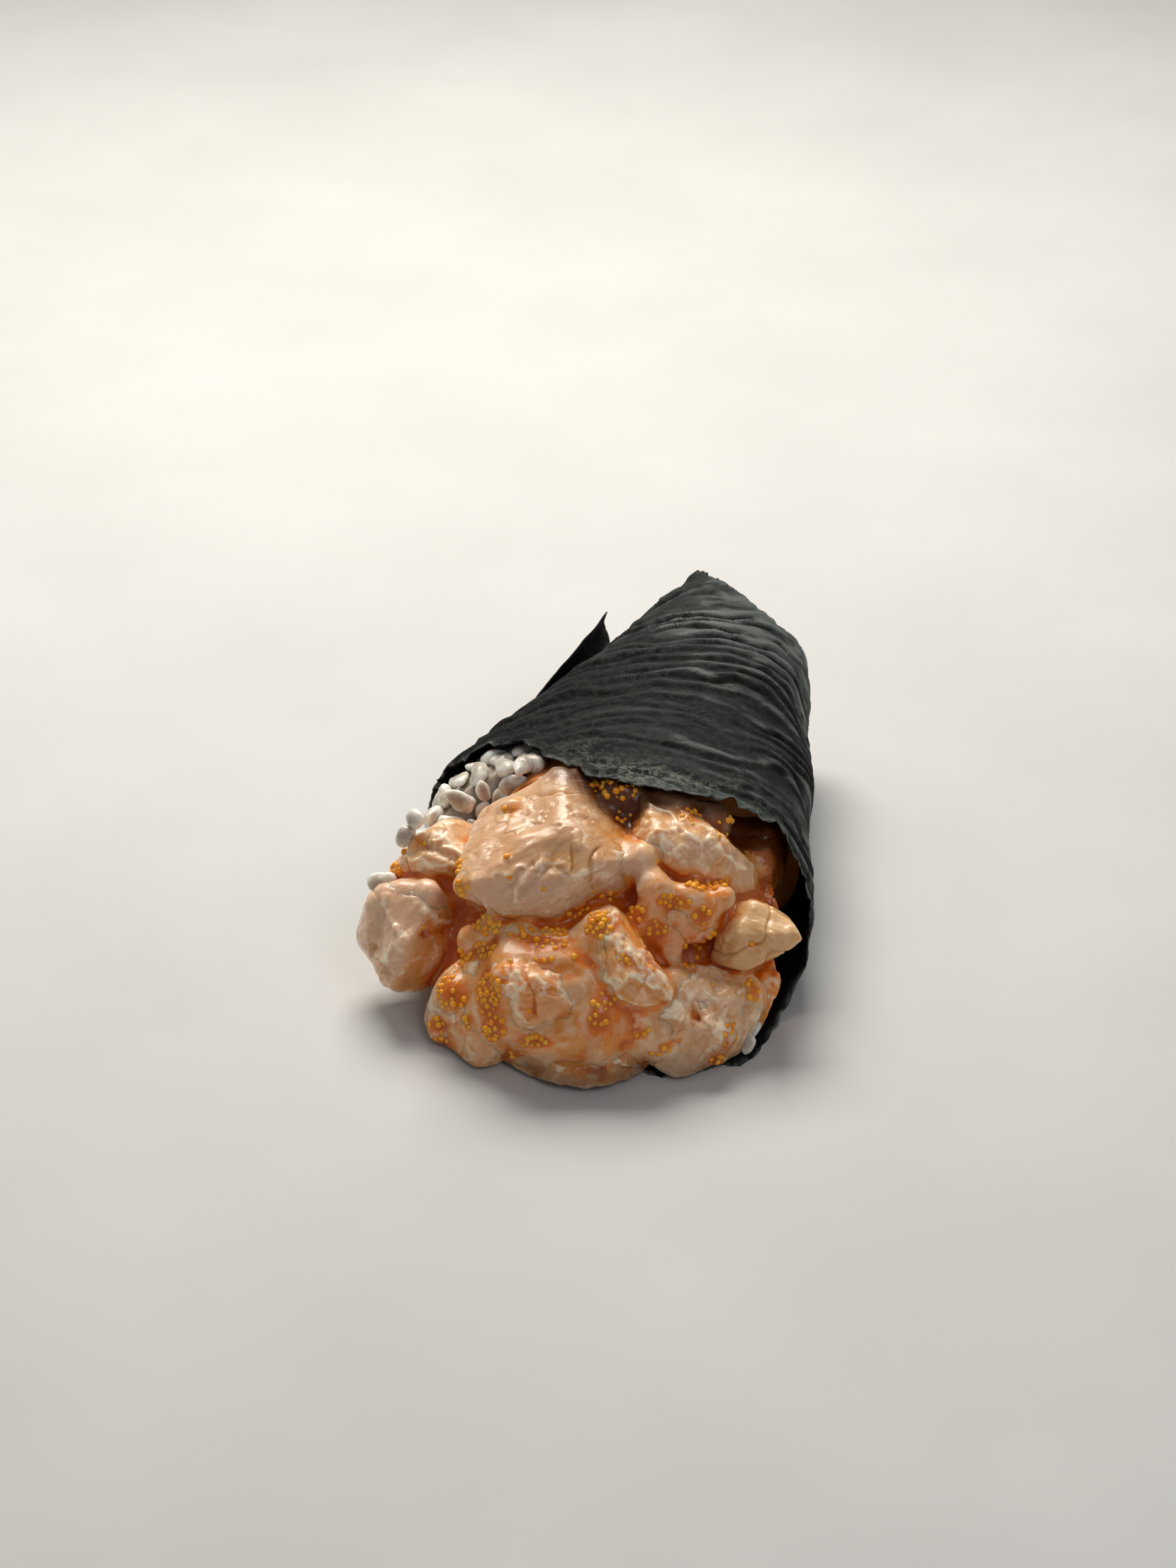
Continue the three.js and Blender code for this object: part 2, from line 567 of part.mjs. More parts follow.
PIECES.forEach((piece, i) => {
  let body = makePiece(piece, 0, piece.detail).intersect(above);
  body = body.subtract(fillingRoom).subtract(sheetRoom).subtract(bedRoom);
  for (const before of PIECES.slice(0, i)) body = body.subtract(before.room);
  add(piece.name, largest(withEggs(largest(body), piece)), 0xe8bd9d, 0.3);
});

export default handRoll;
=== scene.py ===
# A hand roll lying on its side: a sheet of seaweed wound round rice, with dressed raw scallop and
# orange fish roe heaped out of its wide mouth. Forms are worked out in millimetres, mouth towards -Y.
import math

import bmesh
import bpy
import numpy as np
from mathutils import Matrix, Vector


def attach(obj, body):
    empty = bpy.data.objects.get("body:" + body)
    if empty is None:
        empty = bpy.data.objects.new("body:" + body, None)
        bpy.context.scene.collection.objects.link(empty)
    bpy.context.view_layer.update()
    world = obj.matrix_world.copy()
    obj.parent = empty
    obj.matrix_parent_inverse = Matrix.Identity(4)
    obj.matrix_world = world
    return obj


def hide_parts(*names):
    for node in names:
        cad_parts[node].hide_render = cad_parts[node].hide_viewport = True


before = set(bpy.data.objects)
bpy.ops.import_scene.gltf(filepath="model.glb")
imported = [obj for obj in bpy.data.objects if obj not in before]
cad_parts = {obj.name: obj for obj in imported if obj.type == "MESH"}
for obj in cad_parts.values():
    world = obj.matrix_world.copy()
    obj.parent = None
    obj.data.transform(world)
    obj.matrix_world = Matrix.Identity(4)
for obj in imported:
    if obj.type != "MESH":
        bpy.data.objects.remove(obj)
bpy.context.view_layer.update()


# ---- Seaweed sheet ----------------------------------------------------------------------------
# Half a sheet of toasted nori: shredded laver, dried on a mat and pressed to paper. It is wound once
# and a bit round the filling, and one corner stands loose near the tail.

MM = 0.001
STAND = np.array([-6.46, 2.65, 0.0])      # middle of the footprint, which is the origin
GAP = 0.3                                 # air between the sheet and what it holds
SHEET = 0.8                               # room the sheet takes
PAPER = 0.45                              # its own thickness
LAP = 1.3                                 # how far the second turn stands off the first
WAVE = 0.45                               # how far the roll is from a true cone
RIPPLE = 4.4                              # spacing of the wrinkles the mat leaves
ARC = 36                                  # length of a radian round the roll
TAIL = {"y": 70, "x": 24.5, "z": 26, "left": 18, "right": 19, "high": 14}
MOUTH = {"y": -30, "x": -8.5, "z": 18, "left": 54, "right": 46.5, "high": 29}
FULL_WIDTH = 4                            # the left side is as wide as at the mouth from here on
SHEET_START = -30                         # the angles at which the sheet starts and ends
SHEET_END = 372
# the sheet's two ends, as angle round the roll and place along Y
MOUTH_EDGE = [(-30, 6), (0, 3), (28, 0), (45, -3), (60, -7), (75, -18), (90, -27), (105, -31),
              (120, -30), (135, -27.5), (150, -27), (165, -32), (180, -36), (195, -40), (207, -48),
              (214, -58), (221, -64), (235, -67), (255, -66), (270, -60), (290, -44), (310, -26),
              (330, -10), (345, -2), (372, 4)]
TAIL_EDGE = [(-30, 58), (0, 65), (20, 72), (38, 79), (50, 80), (62, 76.5), (78, 71), (95, 63.5),
             (111, 58), (133, 54.5), (152, 55), (180, 57), (210, 57), (240, 56), (300, 57), (330, 58),
             (350, 60), (372, 66)]
# the loose corner: where it lifts along Y, from which angle, and how far it stands off
FLAP = {"from": 30, "to": 72, "angle": 345, "out": 10}
# short slits between wrinkles, painted dark as the shade in them, with no cut in the sheet: angle, place
# along Y, half length
NICKS = [(126, 3, 2.2), (122, -9, 2.6), (138, 12, 1.6), (131, 28, 1.4), (146, -6, 1.5), (112, -1, 1.3)]


def eased(x, low, high):
    """0 below low, 1 above high, and smooth between."""
    t = np.clip((x - low) / (high - low), 0, 1)
    return t * t * (3 - 2 * t)


def read_off(pairs, x, blur=4.0):
    """A value read off (place, value) pairs, with the corners between them rounded off."""
    places, values = zip(*pairs)
    return sum(np.interp(x + blur * k / 2, places, values) for k in range(-2, 3)) / 5


def xyz(x, y, z):
    """Places with those coordinates, each an array or one number for all."""
    return np.stack(np.broadcast_arrays(x, y, z), axis=-1)


def unit(v):
    """The same directions, each 1 long."""
    return v / np.linalg.norm(v, axis=-1, keepdims=True)


def between_corners(cell, share, value_at):
    """The mean of what the eight corners of each cell give, weighted by the share of the way across it."""
    total = np.zeros(share.shape[:-1])
    for corner in range(8):
        step = np.array([corner & 1, corner >> 1 & 1, corner >> 2 & 1])
        total += value_at(cell + step) * np.prod(np.where(step == 1, share, 1 - share), axis=-1)
    return total


def lumps(points, size, seed):
    """A smooth random height from -1 to 1 at each point, in lumps of about that size."""
    q = np.asarray(points, float) / size
    cell = np.floor(q).astype(np.int64)
    f = q - cell

    def scattered(c):
        mixed = (c[..., 0] * 73856093) ^ (c[..., 1] * 19349663) ^ (c[..., 2] * 83492791) ^ (seed * 2654435)
        mixed = ((mixed ^ (mixed >> 13)) * 1274126177) & 0x7FFFFFFF
        return ((mixed ^ (mixed >> 15)) & 0xFFFF) / 32767.5 - 1

    return between_corners(cell, f * f * (3 - 2 * f), scattered)


def cone_ring(y, left):
    """Centre x and z, half width and half height of the cone at a distance along Y."""
    t = (TAIL["y"] - y) / (TAIL["y"] - MOUTH["y"])
    widest = (TAIL["y"] - FULL_WIDTH) / (TAIL["y"] - MOUTH["y"])
    left_wide = TAIL["left"] + (MOUTH["left"] - TAIL["left"]) * np.minimum(t, widest)
    right_wide = TAIL["right"] + (MOUTH["right"] - TAIL["right"]) * t
    wide = np.where(left, left_wide, right_wide)
    high = TAIL["high"] + (MOUTH["high"] - TAIL["high"]) * t
    return TAIL["x"] + (MOUTH["x"] - TAIL["x"]) * t, TAIL["z"] + (MOUTH["z"] - TAIL["z"]) * t, wide, high


def cone_point(angle, y):
    """A point of the cone. Angles in degrees: 0 left, 90 top, 180 right, 270 under."""
    a = np.radians(angle)
    x, z, wide, high = cone_ring(y, np.cos(a) > 0)
    wave = np.sin(3 * a + 0.05 * y) + 0.7 * np.sin(5 * a - 0.11 * y) + 0.5 * np.sin(2 * a + 0.19 * y)
    wide = wide + WAVE * wave
    high = high + WAVE * wave
    return xyz(x - wide * np.cos(a), y, z + high * np.sin(a))


def cone_normal(angle, y):
    across = cone_point(angle + 1, y) - cone_point(angle - 1, y)
    down = cone_point(angle, y + 1) - cone_point(angle, y - 1)
    return unit(np.cross(across, down))


def skin(angle, y, out, floor):
    """The cone's skin set out (or in), pressed flat where it meets the table."""
    angle, y = np.broadcast_arrays(angle, y)
    p = cone_point(angle, y) + cone_normal(angle, y) * np.asarray(out)[..., None]
    p[..., 2] = np.maximum(p[..., 2], floor)
    return p


def stand_off(angle, y):
    """How far the sheet stands off the cone: the lap, then the loose corner near the tail."""
    lift = np.clip((y - FLAP["from"]) / (FLAP["to"] - FLAP["from"]), 0, 1) ** 1.2
    return LAP * eased(angle, 285, 328) + FLAP["out"] * lift * eased(angle, FLAP["angle"], SHEET_END) ** 1.5


def closed_slab(outer, inner):
    """Points and quads of a closed skin from two matching grids of points."""
    rows, cols = outer.shape[:2]
    points = np.concatenate([outer.reshape(-1, 3), inner.reshape(-1, 3)])
    at = np.arange(rows * cols).reshape(rows, cols)
    far = at + rows * cols
    top = np.stack([at[:-1, :-1], at[:-1, 1:], at[1:, 1:], at[1:, :-1]], axis=-1).reshape(-1, 4)
    under = np.stack([far[:-1, :-1], far[1:, :-1], far[1:, 1:], far[:-1, 1:]], axis=-1).reshape(-1, 4)
    sides = []
    for near, beyond in ((at[:, 0], far[:, 0]), (at[::-1, -1], far[::-1, -1])):
        sides.append(np.stack([near[:-1], near[1:], beyond[1:], beyond[:-1]], axis=-1))
    for near, beyond in ((at[0, ::-1], far[0, ::-1]), (at[-1, :], far[-1, :])):
        sides.append(np.stack([near[:-1], near[1:], beyond[1:], beyond[:-1]], axis=-1))
    return points, np.concatenate([top, under, *sides])


def make_object(name, points, faces, material, **attributes):
    """A smooth mesh object from points in millimetres, with any per-point attributes."""
    mesh = bpy.data.meshes.new(name)
    mesh.from_pydata(((np.asarray(points) - STAND) * MM).tolist(), [], list(faces))
    mesh.shade_smooth()
    for label, values in attributes.items():
        kind, field = ("FLOAT_COLOR", "color") if values.shape[1] == 4 else ("FLOAT_VECTOR", "vector")
        layer = mesh.attributes.new(label, kind, "POINT")
        layer.data.foreach_set(field, values.astype(np.float32).ravel())
    mesh.materials.append(material)
    made = bpy.data.objects.new(name, mesh)
    bpy.context.scene.collection.objects.link(made)
    return made


def linear(colour):
    """Linear RGBA from an sRGB hex colour; anything else as it is."""
    if not isinstance(colour, str):
        return colour
    channels = [int(colour[i:i + 2], 16) / 255 for i in (1, 3, 5)]
    return tuple(c / 12.92 if c <= 0.04045 else ((c + 0.055) / 1.055) ** 2.4 for c in channels) + (1.0,)


def node(material, kind, links=None, stops=None, **settings):
    """Adds one node: its settings, a ramp's stops, and its inputs, each a value, an sRGB hex colour, an
    output of another node, or a whole node for its first output."""
    made = material.node_tree.nodes.new("ShaderNode" + kind)
    for name, value in settings.items():
        setattr(made, name, value)
    for socket, source in (links or {}).items():
        if isinstance(source, bpy.types.Node):
            source = next(output for output in source.outputs if output.enabled)
        if isinstance(source, bpy.types.NodeSocket):
            material.node_tree.links.new(source, made.inputs[socket])
        else:
            made.inputs[socket].default_value = linear(source)
    if stops:
        while len(made.color_ramp.elements) < len(stops):
            made.color_ramp.elements.new(0.5)
        for element, (place, colour) in zip(made.color_ramp.elements, stops):
            element.position = place
            element.color = linear(colour)
    return made


def empty_material(name):
    material = bpy.data.materials.new(name)
    material.use_nodes = True
    material.node_tree.nodes.clear()
    return material


# Toasted laver: near black green with a dull satin face. The mat leaves wrinkles that run round the
# roll, 2 to 4.5 mm apart, with painted highlight along their crests and painted shade in the troughs;
# the front edge is frayed and mottled.
def toasted_nori():
    m = empty_material("toasted_nori")
    where = node(m, "TexCoord").outputs["Object"]
    paper = node(m, "SeparateColor", {"Color": node(m, "Attribute", attribute_name="paper")})
    stretched = node(m, "Mapping", {"Vector": where, "Scale": (150, 560, 150)})
    warped = node(m, "TexNoise", {"Vector": where, "Scale": 90.0, "Detail": 2.0})
    shift = node(m, "VectorMath", {0: warped.outputs["Color"], 1: (0.0, 5.0, 0.0)}, operation="MULTIPLY")
    bent = node(m, "VectorMath", {0: stretched, 1: shift})
    threads = node(m, "TexNoise", {"Vector": bent, "Scale": 1.0, "Detail": 6.0, "Roughness": 0.66})
    height = node(m, "Math", {0: threads, 1: 0.6, 2: paper.outputs["Red"]}, operation="MULTIPLY_ADD")
    crests = node(m, "ValToRGB", {"Fac": height}, stops=[(0.3, "#040405"), (0.55, "#0a0b0b"),
            (0.78, "#1f2221"), (1.0, "#5c605c")])
    mottle = node(m, "TexNoise", {"Vector": where, "Scale": 640.0, "Detail": 5.0, "Roughness": 0.72,
            "Distortion": 0.6})
    flecks = node(m, "ValToRGB", {"Fac": mottle}, stops=[(0.47, "#000000"), (0.56, "#ffffff")])
    amount = node(m, "Math", {0: flecks, 1: paper.outputs["Blue"]}, operation="MULTIPLY")
    body = node(m, "Mix", {"Factor": amount, "A": crests, "B": "#71776a"}, data_type="RGBA")
    frayed = node(m, "Mix", {"Factor": paper.outputs["Green"], "A": body, "B": "#7b8079"}, data_type="RGBA")
    rough = node(m, "MapRange", {"Value": height, "From Min": 0.3, "From Max": 0.9, "To Min": 0.85,
            "To Max": 0.45})
    grain = node(m, "TexNoise", {"Vector": where, "Scale": 2200.0, "Detail": 3.0})
    low = node(m, "Bump", {"Height": threads, "Strength": 0.8, "Distance": 0.0005})
    fine = node(m, "Bump", {"Height": grain, "Strength": 0.12, "Distance": 0.00012, "Normal": low})
    face = node(m, "BsdfPrincipled", {"Base Color": frayed, "Roughness": rough, "Normal": fine, "IOR": 1.4,
            "Specular IOR Level": 0.2})
    node(m, "OutputMaterial", {"Surface": face})
    return m


def seaweed_sheet():
    rounds, steps = 368, 190
    angle = np.linspace(SHEET_START, SHEET_END, rounds)
    arc = np.radians(angle) * ARC
    ragged = 0.9 * np.sin(angle * 0.31) + 0.6 * np.sin(angle * 0.83 + 1)
    nibble = lumps(xyz(arc, 0, 0), 2.2, 5) + 0.6 * lumps(xyz(arc, 9, 0), 0.9, 6)
    front = read_off(MOUTH_EDGE, angle) + 0.5 * ragged + 0.95 * nibble
    back = read_off(TAIL_EDGE, angle) + 0.3 * ragged + 0.35 * nibble
    share = np.linspace(0, 1, steps)
    y = back[:, None] + (front - back)[:, None] * share[None, :]
    angles = np.broadcast_to(angle[:, None], y.shape)
    arcs = np.broadcast_to(arc[:, None], y.shape)
    # wrinkles: ripples round the roll, deepest towards the tail, broad dents, and a curled front lip
    at = xyz(arcs, y, 0)
    drift = y + 2.6 * lumps(at, 21, 8) + 0.9 * lumps(at, 7, 18)
    along = xyz(arcs * 0.42, drift, 4)
    phase = 2 * math.pi * (drift / RIPPLE + 0.7 * lumps(along, 5.5, 1) + 0.24 * lumps(along, 2.4, 2))
    deep = (0.7 + 0.4 * eased(y, -25, 30)) * np.clip(0.75 + 0.9 * lumps(along, 5.5, 12), 0.1, 1.4)
    ripple = deep * (np.sin(phase) + 0.35 * np.sin(2 * phase + 0.7 + 2 * lumps(along, 3.0, 19)))
    folds = np.sin(2 * math.pi * (drift / 7.3 + 0.8 * lumps(along, 8.0, 13)))
    ripple *= 0.3 + 0.7 * eased(back[:, None] - y, 0, 7)
    wrinkle = 0.46 * ripple + 0.26 * folds * lumps(along, 9.0, 14) + 0.45 * lumps(at * [0.5, 1, 1], 9, 3)
    edge = y - front[:, None]
    lip = 0.9 * np.exp(-edge / 2.0) * (0.4 + 0.6 * lumps(xyz(arcs, 0 * y, 0), 7, 4))
    loose = eased(y, FLAP["from"], FLAP["to"]) * eased(angles, FLAP["angle"], SHEET_END)
    # the loose corner: its wrinkles calmed, and its colour painted dark as shade
    calm_shaded_corner = eased(angles, 332, 356) * eased(y, 0, 25)
    crumple = 0.8 * loose * lumps(at, 5.0, 9)
    held = eased(angles, 215, 235) * (1 - eased(angles, 305, 325)) * eased(36 - y, 0, 20)
    out = stand_off(angles, y) + (wrinkle * (1 - 0.95 * calm_shaded_corner) + lip + crumple) * (1 - 0.8 * held)
    thick = PAPER * (0.55 + 0.45 * eased(edge, 0, 1.5))
    outer = skin(angles, y, out + SHEET / 2, 0)
    inner = skin(angles, y, out + SHEET / 2 - thick, PAPER)
    points, faces = closed_slab(outer, inner)
    # paper: height of the ripples, painted as highlight on crests and shade in troughs, with painted sheen
    # on the right half and towards the tail and painted shade on the loose corner and in the slits; the
    # frayed rims; and the mottled patch at the top of the mouth
    speckle = lumps(at, 0.8, 15) + 0.7 * lumps(at, 2.1, 17)
    rim = np.exp(-edge / 0.8) + 0.8 * np.exp((y - back[:, None]) / 0.7)
    patch = np.exp(-((angles - 108) / 27) ** 2 - ((edge - 4.5) / 6.5) ** 2)
    patch = patch * eased(lumps(at, 3.5, 16), -0.7, 0.2)
    side = eased(angles, 60, 130)                          # the right half is painted paler, as painted sheen
    # crest: painted sheen grows towards the tail, and the loose corner is painted dark as shade
    crest = (0.02 + 0.4 * side + 0.19 * ripple + 0.08 * folds + 0.3 * eased(y, 16, 52)) * (1 - calm_shaded_corner)
    # the slits are painted dark, as shade
    for angle_at, y_at, long in NICKS:
        slit = ((arcs - math.radians(angle_at) * ARC) / long) ** 2 + ((drift - y_at) / 0.45) ** 2
        crest = crest - 0.5 * np.exp(-slit)
    face = np.stack([crest, np.clip(rim * (0.3 + 0.8 * speckle), 0, 0.9), 0.6 * patch + 0.06 * (1 - loose),
                     1 + 0 * y], axis=-1)
    # the inner face is the same paper painted darker, as shade inside the roll
    under = face * [0.4, 0.8, 0.3, 1.0]
    paper = np.concatenate([face.reshape(-1, 4), under.reshape(-1, 4)])
    return make_object("nori_wrap", points, faces, toasted_nori(), paper=paper)


sheet = seaweed_sheet()
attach(sheet, "root")
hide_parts("nori_sheet")


# ---- Rice ---------------------------------------------------------------------------------------
# Short-grain rice, boiled, seasoned and pressed along one side of the sheet. Grains are plump, about
# 5.5 by 3.2 mm, stuck by their own starch, and they show where the sheet stops short and at the tail.

RICE = {"from": -150, "to": 70, "thick": 8, "back": 56}
RICE_FRONT = [(-150, -58), (-120, -62), (-90, -54), (-60, -42), (-30, -31), (0, -24), (30, -17),
              (55, -13), (70, -20)]
GRAIN = {"long": 6.2, "wide": 4.4}
GRAIN_SPACING = 4.3                       # between the middles of two grains, at least
# grains squeezed out beside the heap
STRAY_GRAINS = [(-43.4, -26.4, 35.7), (-45.4, -26.7, 31.6), (-46.8, -26.7, 27.9), (-50.4, -30.2, 22.5),
                (-51, -32.4, 19.6), (24.6, -60.8, 3.2), (25.6, -64.5, 3.2)]
SLACK = 0.5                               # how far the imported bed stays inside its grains


def rice_thick(angle):
    """Thickness of the rice at an angle: a crescent, thickest low on the left."""
    end = eased(angle, RICE["from"], RICE["from"] + 45) * (1 - eased(angle, RICE["to"] - 30, RICE["to"]))
    return 1.5 + (RICE["thick"] * (1 - 0.45 * eased(-angle, 20, 80)) - 1.5) * end


# Boiled rice: starch gel, white but see-through at the rims, wet enough to shine; the rims are painted
# paler, as light showing through them.
def boiled_rice():
    m = empty_material("boiled_rice")
    where = node(m, "TexCoord").outputs["Object"]
    cloud = node(m, "TexNoise", {"Vector": where, "Scale": 420.0, "Detail": 4.0})
    thin = node(m, "Attribute", attribute_name="starch")
    mixed = node(m, "Math", {0: thin.outputs["Fac"], 1: 0.5, 2: cloud}, operation="MULTIPLY_ADD")
    tint = node(m, "ValToRGB", {"Fac": mixed}, stops=[(0.4, "#a4988a"), (0.65, "#c3baac"),
            (0.95, "#efece2")])
    rough = node(m, "MapRange", {"Value": cloud, "To Min": 0.18, "To Max": 0.42})
    bump = node(m, "Bump", {"Height": cloud, "Strength": 0.5, "Distance": 0.0003})
    face = node(m, "BsdfPrincipled", {"Base Color": tint, "Roughness": rough, "Normal": bump, "IOR": 1.4,
            "Subsurface Weight": 0.9, "Subsurface Radius": (1.0, 0.85, 0.7),
            "Subsurface Scale": 0.002, "Coat Weight": 0.1, "Coat Roughness": 0.2})
    node(m, "OutputMaterial", {"Surface": face})
    return m


def rice_core(material):
    rounds, steps = 130, 90
    angle = np.linspace(RICE["from"], RICE["to"], rounds)
    share = np.linspace(0, 1, steps)
    y = RICE["back"] - 1.2 + (read_off(RICE_FRONT, angle) + 2.6 - RICE["back"] + 1.2)[:, None] * share
    angles = np.broadcast_to(angle[:, None], y.shape)
    bumpy = lumps(xyz(np.radians(angles) * ARC, y, 0), 2.6, 11)
    inset = -SHEET / 2 - GAP - SLACK * (1 + eased(-angles, 80, 120))
    low = SHEET + GAP + SLACK * (1 + 2 * eased(-angles, 80, 120))
    thick = rice_thick(angles) * (1 + 0.1 * np.sin(0.2 * y + 0.07 * angles))
    outer = skin(angles, y, inset - 1.9 + 0.6 * bumpy, low + 0.9)
    inner = skin(angles, y, inset - thick + 0.3 - 0.3 * bumpy, low + 0.6 * thick + 0.6)
    points, faces = closed_slab(outer, inner)
    return make_object("rice_core", points, faces, material)


def cover_edge(angle):
    """The front edge of whatever turn of the sheet lies over the bed at an angle."""
    turn = np.where(angle >= SHEET_START, read_off(MOUTH_EDGE, angle), 1e3)
    lap = np.where(angle + 360 <= SHEET_END, read_off(MOUTH_EDGE, angle + 360), 1e3)
    return np.minimum(turn, lap)


def thinned(points, spacing, *others):
    """The points, in order, that have no earlier one nearer than the spacing, and what goes with them."""
    kept = []
    for i, p in enumerate(points):
        if not kept or np.min(np.linalg.norm(points[kept] - p, axis=1)) > spacing:
            kept.append(i)
    return [points[kept], *(other[kept] for other in others)]


def unit_ball(rings, sides):
    """Points and triangles of a ball of radius 1."""
    points = [(0, 0, 1)]
    for i in range(1, rings):
        tilt = math.pi * i / rings
        for j in range(sides):
            turn = 2 * math.pi * j / sides
            points.append((math.sin(tilt) * math.cos(turn), math.sin(tilt) * math.sin(turn),
                           math.cos(tilt)))
    points.append((0, 0, -1))
    faces = []
    at = lambda i, j: 1 + (i - 1) * sides + j % sides
    for j in range(sides):
        faces.append((0, at(1, j), at(1, j + 1)))
        faces.append((len(points) - 1, at(rings - 1, j + 1), at(rings - 1, j)))
        for i in range(1, rings - 1):
            faces.append((at(i, j), at(i + 1, j), at(i + 1, j + 1)))
            faces.append((at(i, j), at(i + 1, j + 1), at(i, j + 1)))
    return np.array(points, float), np.array(faces)


def rice_grains(material):
    chance = np.random.default_rng(7)
    places = [np.array(place) for place in STRAY_GRAINS]
    normals = [np.array([-0.3, -0.8, 0.5])] * len(places)
    for _ in range(5200):
        angle = chance.uniform(RICE["from"] + 3, RICE["to"] - 2)
        front = float(read_off(RICE_FRONT, angle))
        cover = float(cover_edge(angle))
        deep = SHEET / 2 + 0.5 * GRAIN["wide"]
        kind = chance.random()
        if kind < 0.5:                                     # the bare outside of the bed
            y = chance.uniform(front - 0.5, max(front, min(cover + 2, front + 26)))
            out = -deep + 0.9 * float(eased(cover - y, 1, 5))
        elif kind < 0.8:                                   # its front face
            y = front - 0.8 + chance.uniform(0, 1.5)
            out = -deep - chance.uniform(0, 1) * float(rice_thick(angle))
        elif kind < 0.88:                                  # its inner face, behind the heap
            y = front + chance.uniform(0, 9)
            out = -deep - float(rice_thick(angle))
        else:                                              # the tail end
            y = RICE["back"] + chance.uniform(-1.2, 0.8)
            out = -deep - chance.uniform(0, 0.85) * float(rice_thick(angle))
        p = skin(np.array(angle), np.array(y), np.array(out), SHEET + 0.52 * GRAIN["wide"])
        places.append(p)
        facing = cone_normal(np.array(angle), np.array(y))
        normals.append(facing if kind < 0.5 else np.array([0, math.copysign(1, y), 0]))
    places, normals = thinned(np.array(places), GRAIN_SPACING, np.array(normals))
    ball, triangles = unit_ball(10, 12)
    points, faces = [], []
    rim = (1 - np.abs(ball[:, 1])) ** 0.7                  # 0 on the flat sides, 1 round the edge
    for place, normal in zip(places, normals):
        along = chance.normal(size=3)
        along = unit(along - 0.75 * normal * (along @ normal))
        side = unit(np.cross(along, normal + 0.3 * chance.normal(size=3)))
        flat = np.cross(along, side)
        size = chance.uniform(0.72, 1.15)
        z = ball[:, 2]
        girth = chance.uniform(0.82, 1.05) - chance.uniform(0.05, 0.3) * z
        girth += 0.06 * np.sin(4 * z + chance.uniform(0, 6))
        bend = chance.uniform(0.0, 0.5) * (z ** 2 - 0.4)
        local = (np.outer(z * GRAIN["long"] / 2, along)
                 + np.outer(ball[:, 0] * girth * GRAIN["wide"] / 2 + bend, side)
                 + np.outer(ball[:, 1] * girth * GRAIN["wide"] * chance.uniform(0.3, 0.44), flat))
        grain = place + local * size
        for depth, lump, seed in ((0.42, 2.2, 12), (0.14, 1.0, 15)):
            grain += depth * xyz(*(lumps(grain, lump, seed + i) for i in range(3)))
        grain[:, 2] = np.maximum(grain[:, 2], 0.3)
        faces.append(triangles + len(ball) * len(points))
        points.append(grain)
    # the rims are painted paler, as light showing through the thin edges
    starch = np.tile(rim[:, None] * [1.0, 1.0, 1.0], (len(points), 1))
    return make_object("rice_grains", np.concatenate(points), np.concatenate(faces), material,
                       starch=starch)


rice_white = boiled_rice()
for rice in (rice_core(rice_white), rice_grains(rice_white)):
    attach(rice, "root")
    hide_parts("rice_bed")


# ---- Scallop pieces -----------------------------------------------------------------------------
# Raw scallop cut by hand into blocks of 10 to 35 mm. The flesh parts along its fibres, edges sag round,
# and a thin creamy dressing clings to it, pooling white along ridges and orange in the hollows, where
# painted shade and painted glow deepen the orange.

FACE = {"x": -10, "y": -48, "z": 30, "lean": 33}
HEAP = dict(name="heap",
            corners=[(-28, 8), (-17, 17), (-2, 23), (14, 23), (33, 12), (37, -6), (33, -24), (18, -33),
                     (-10, -34), (-27, -28), (-35, -10)],
            out=-19, front=[(0.4, 0.35, 18.5), (-0.45, 0.35, 18.5), (0, -0.6, 21)], back=16, edge=6)
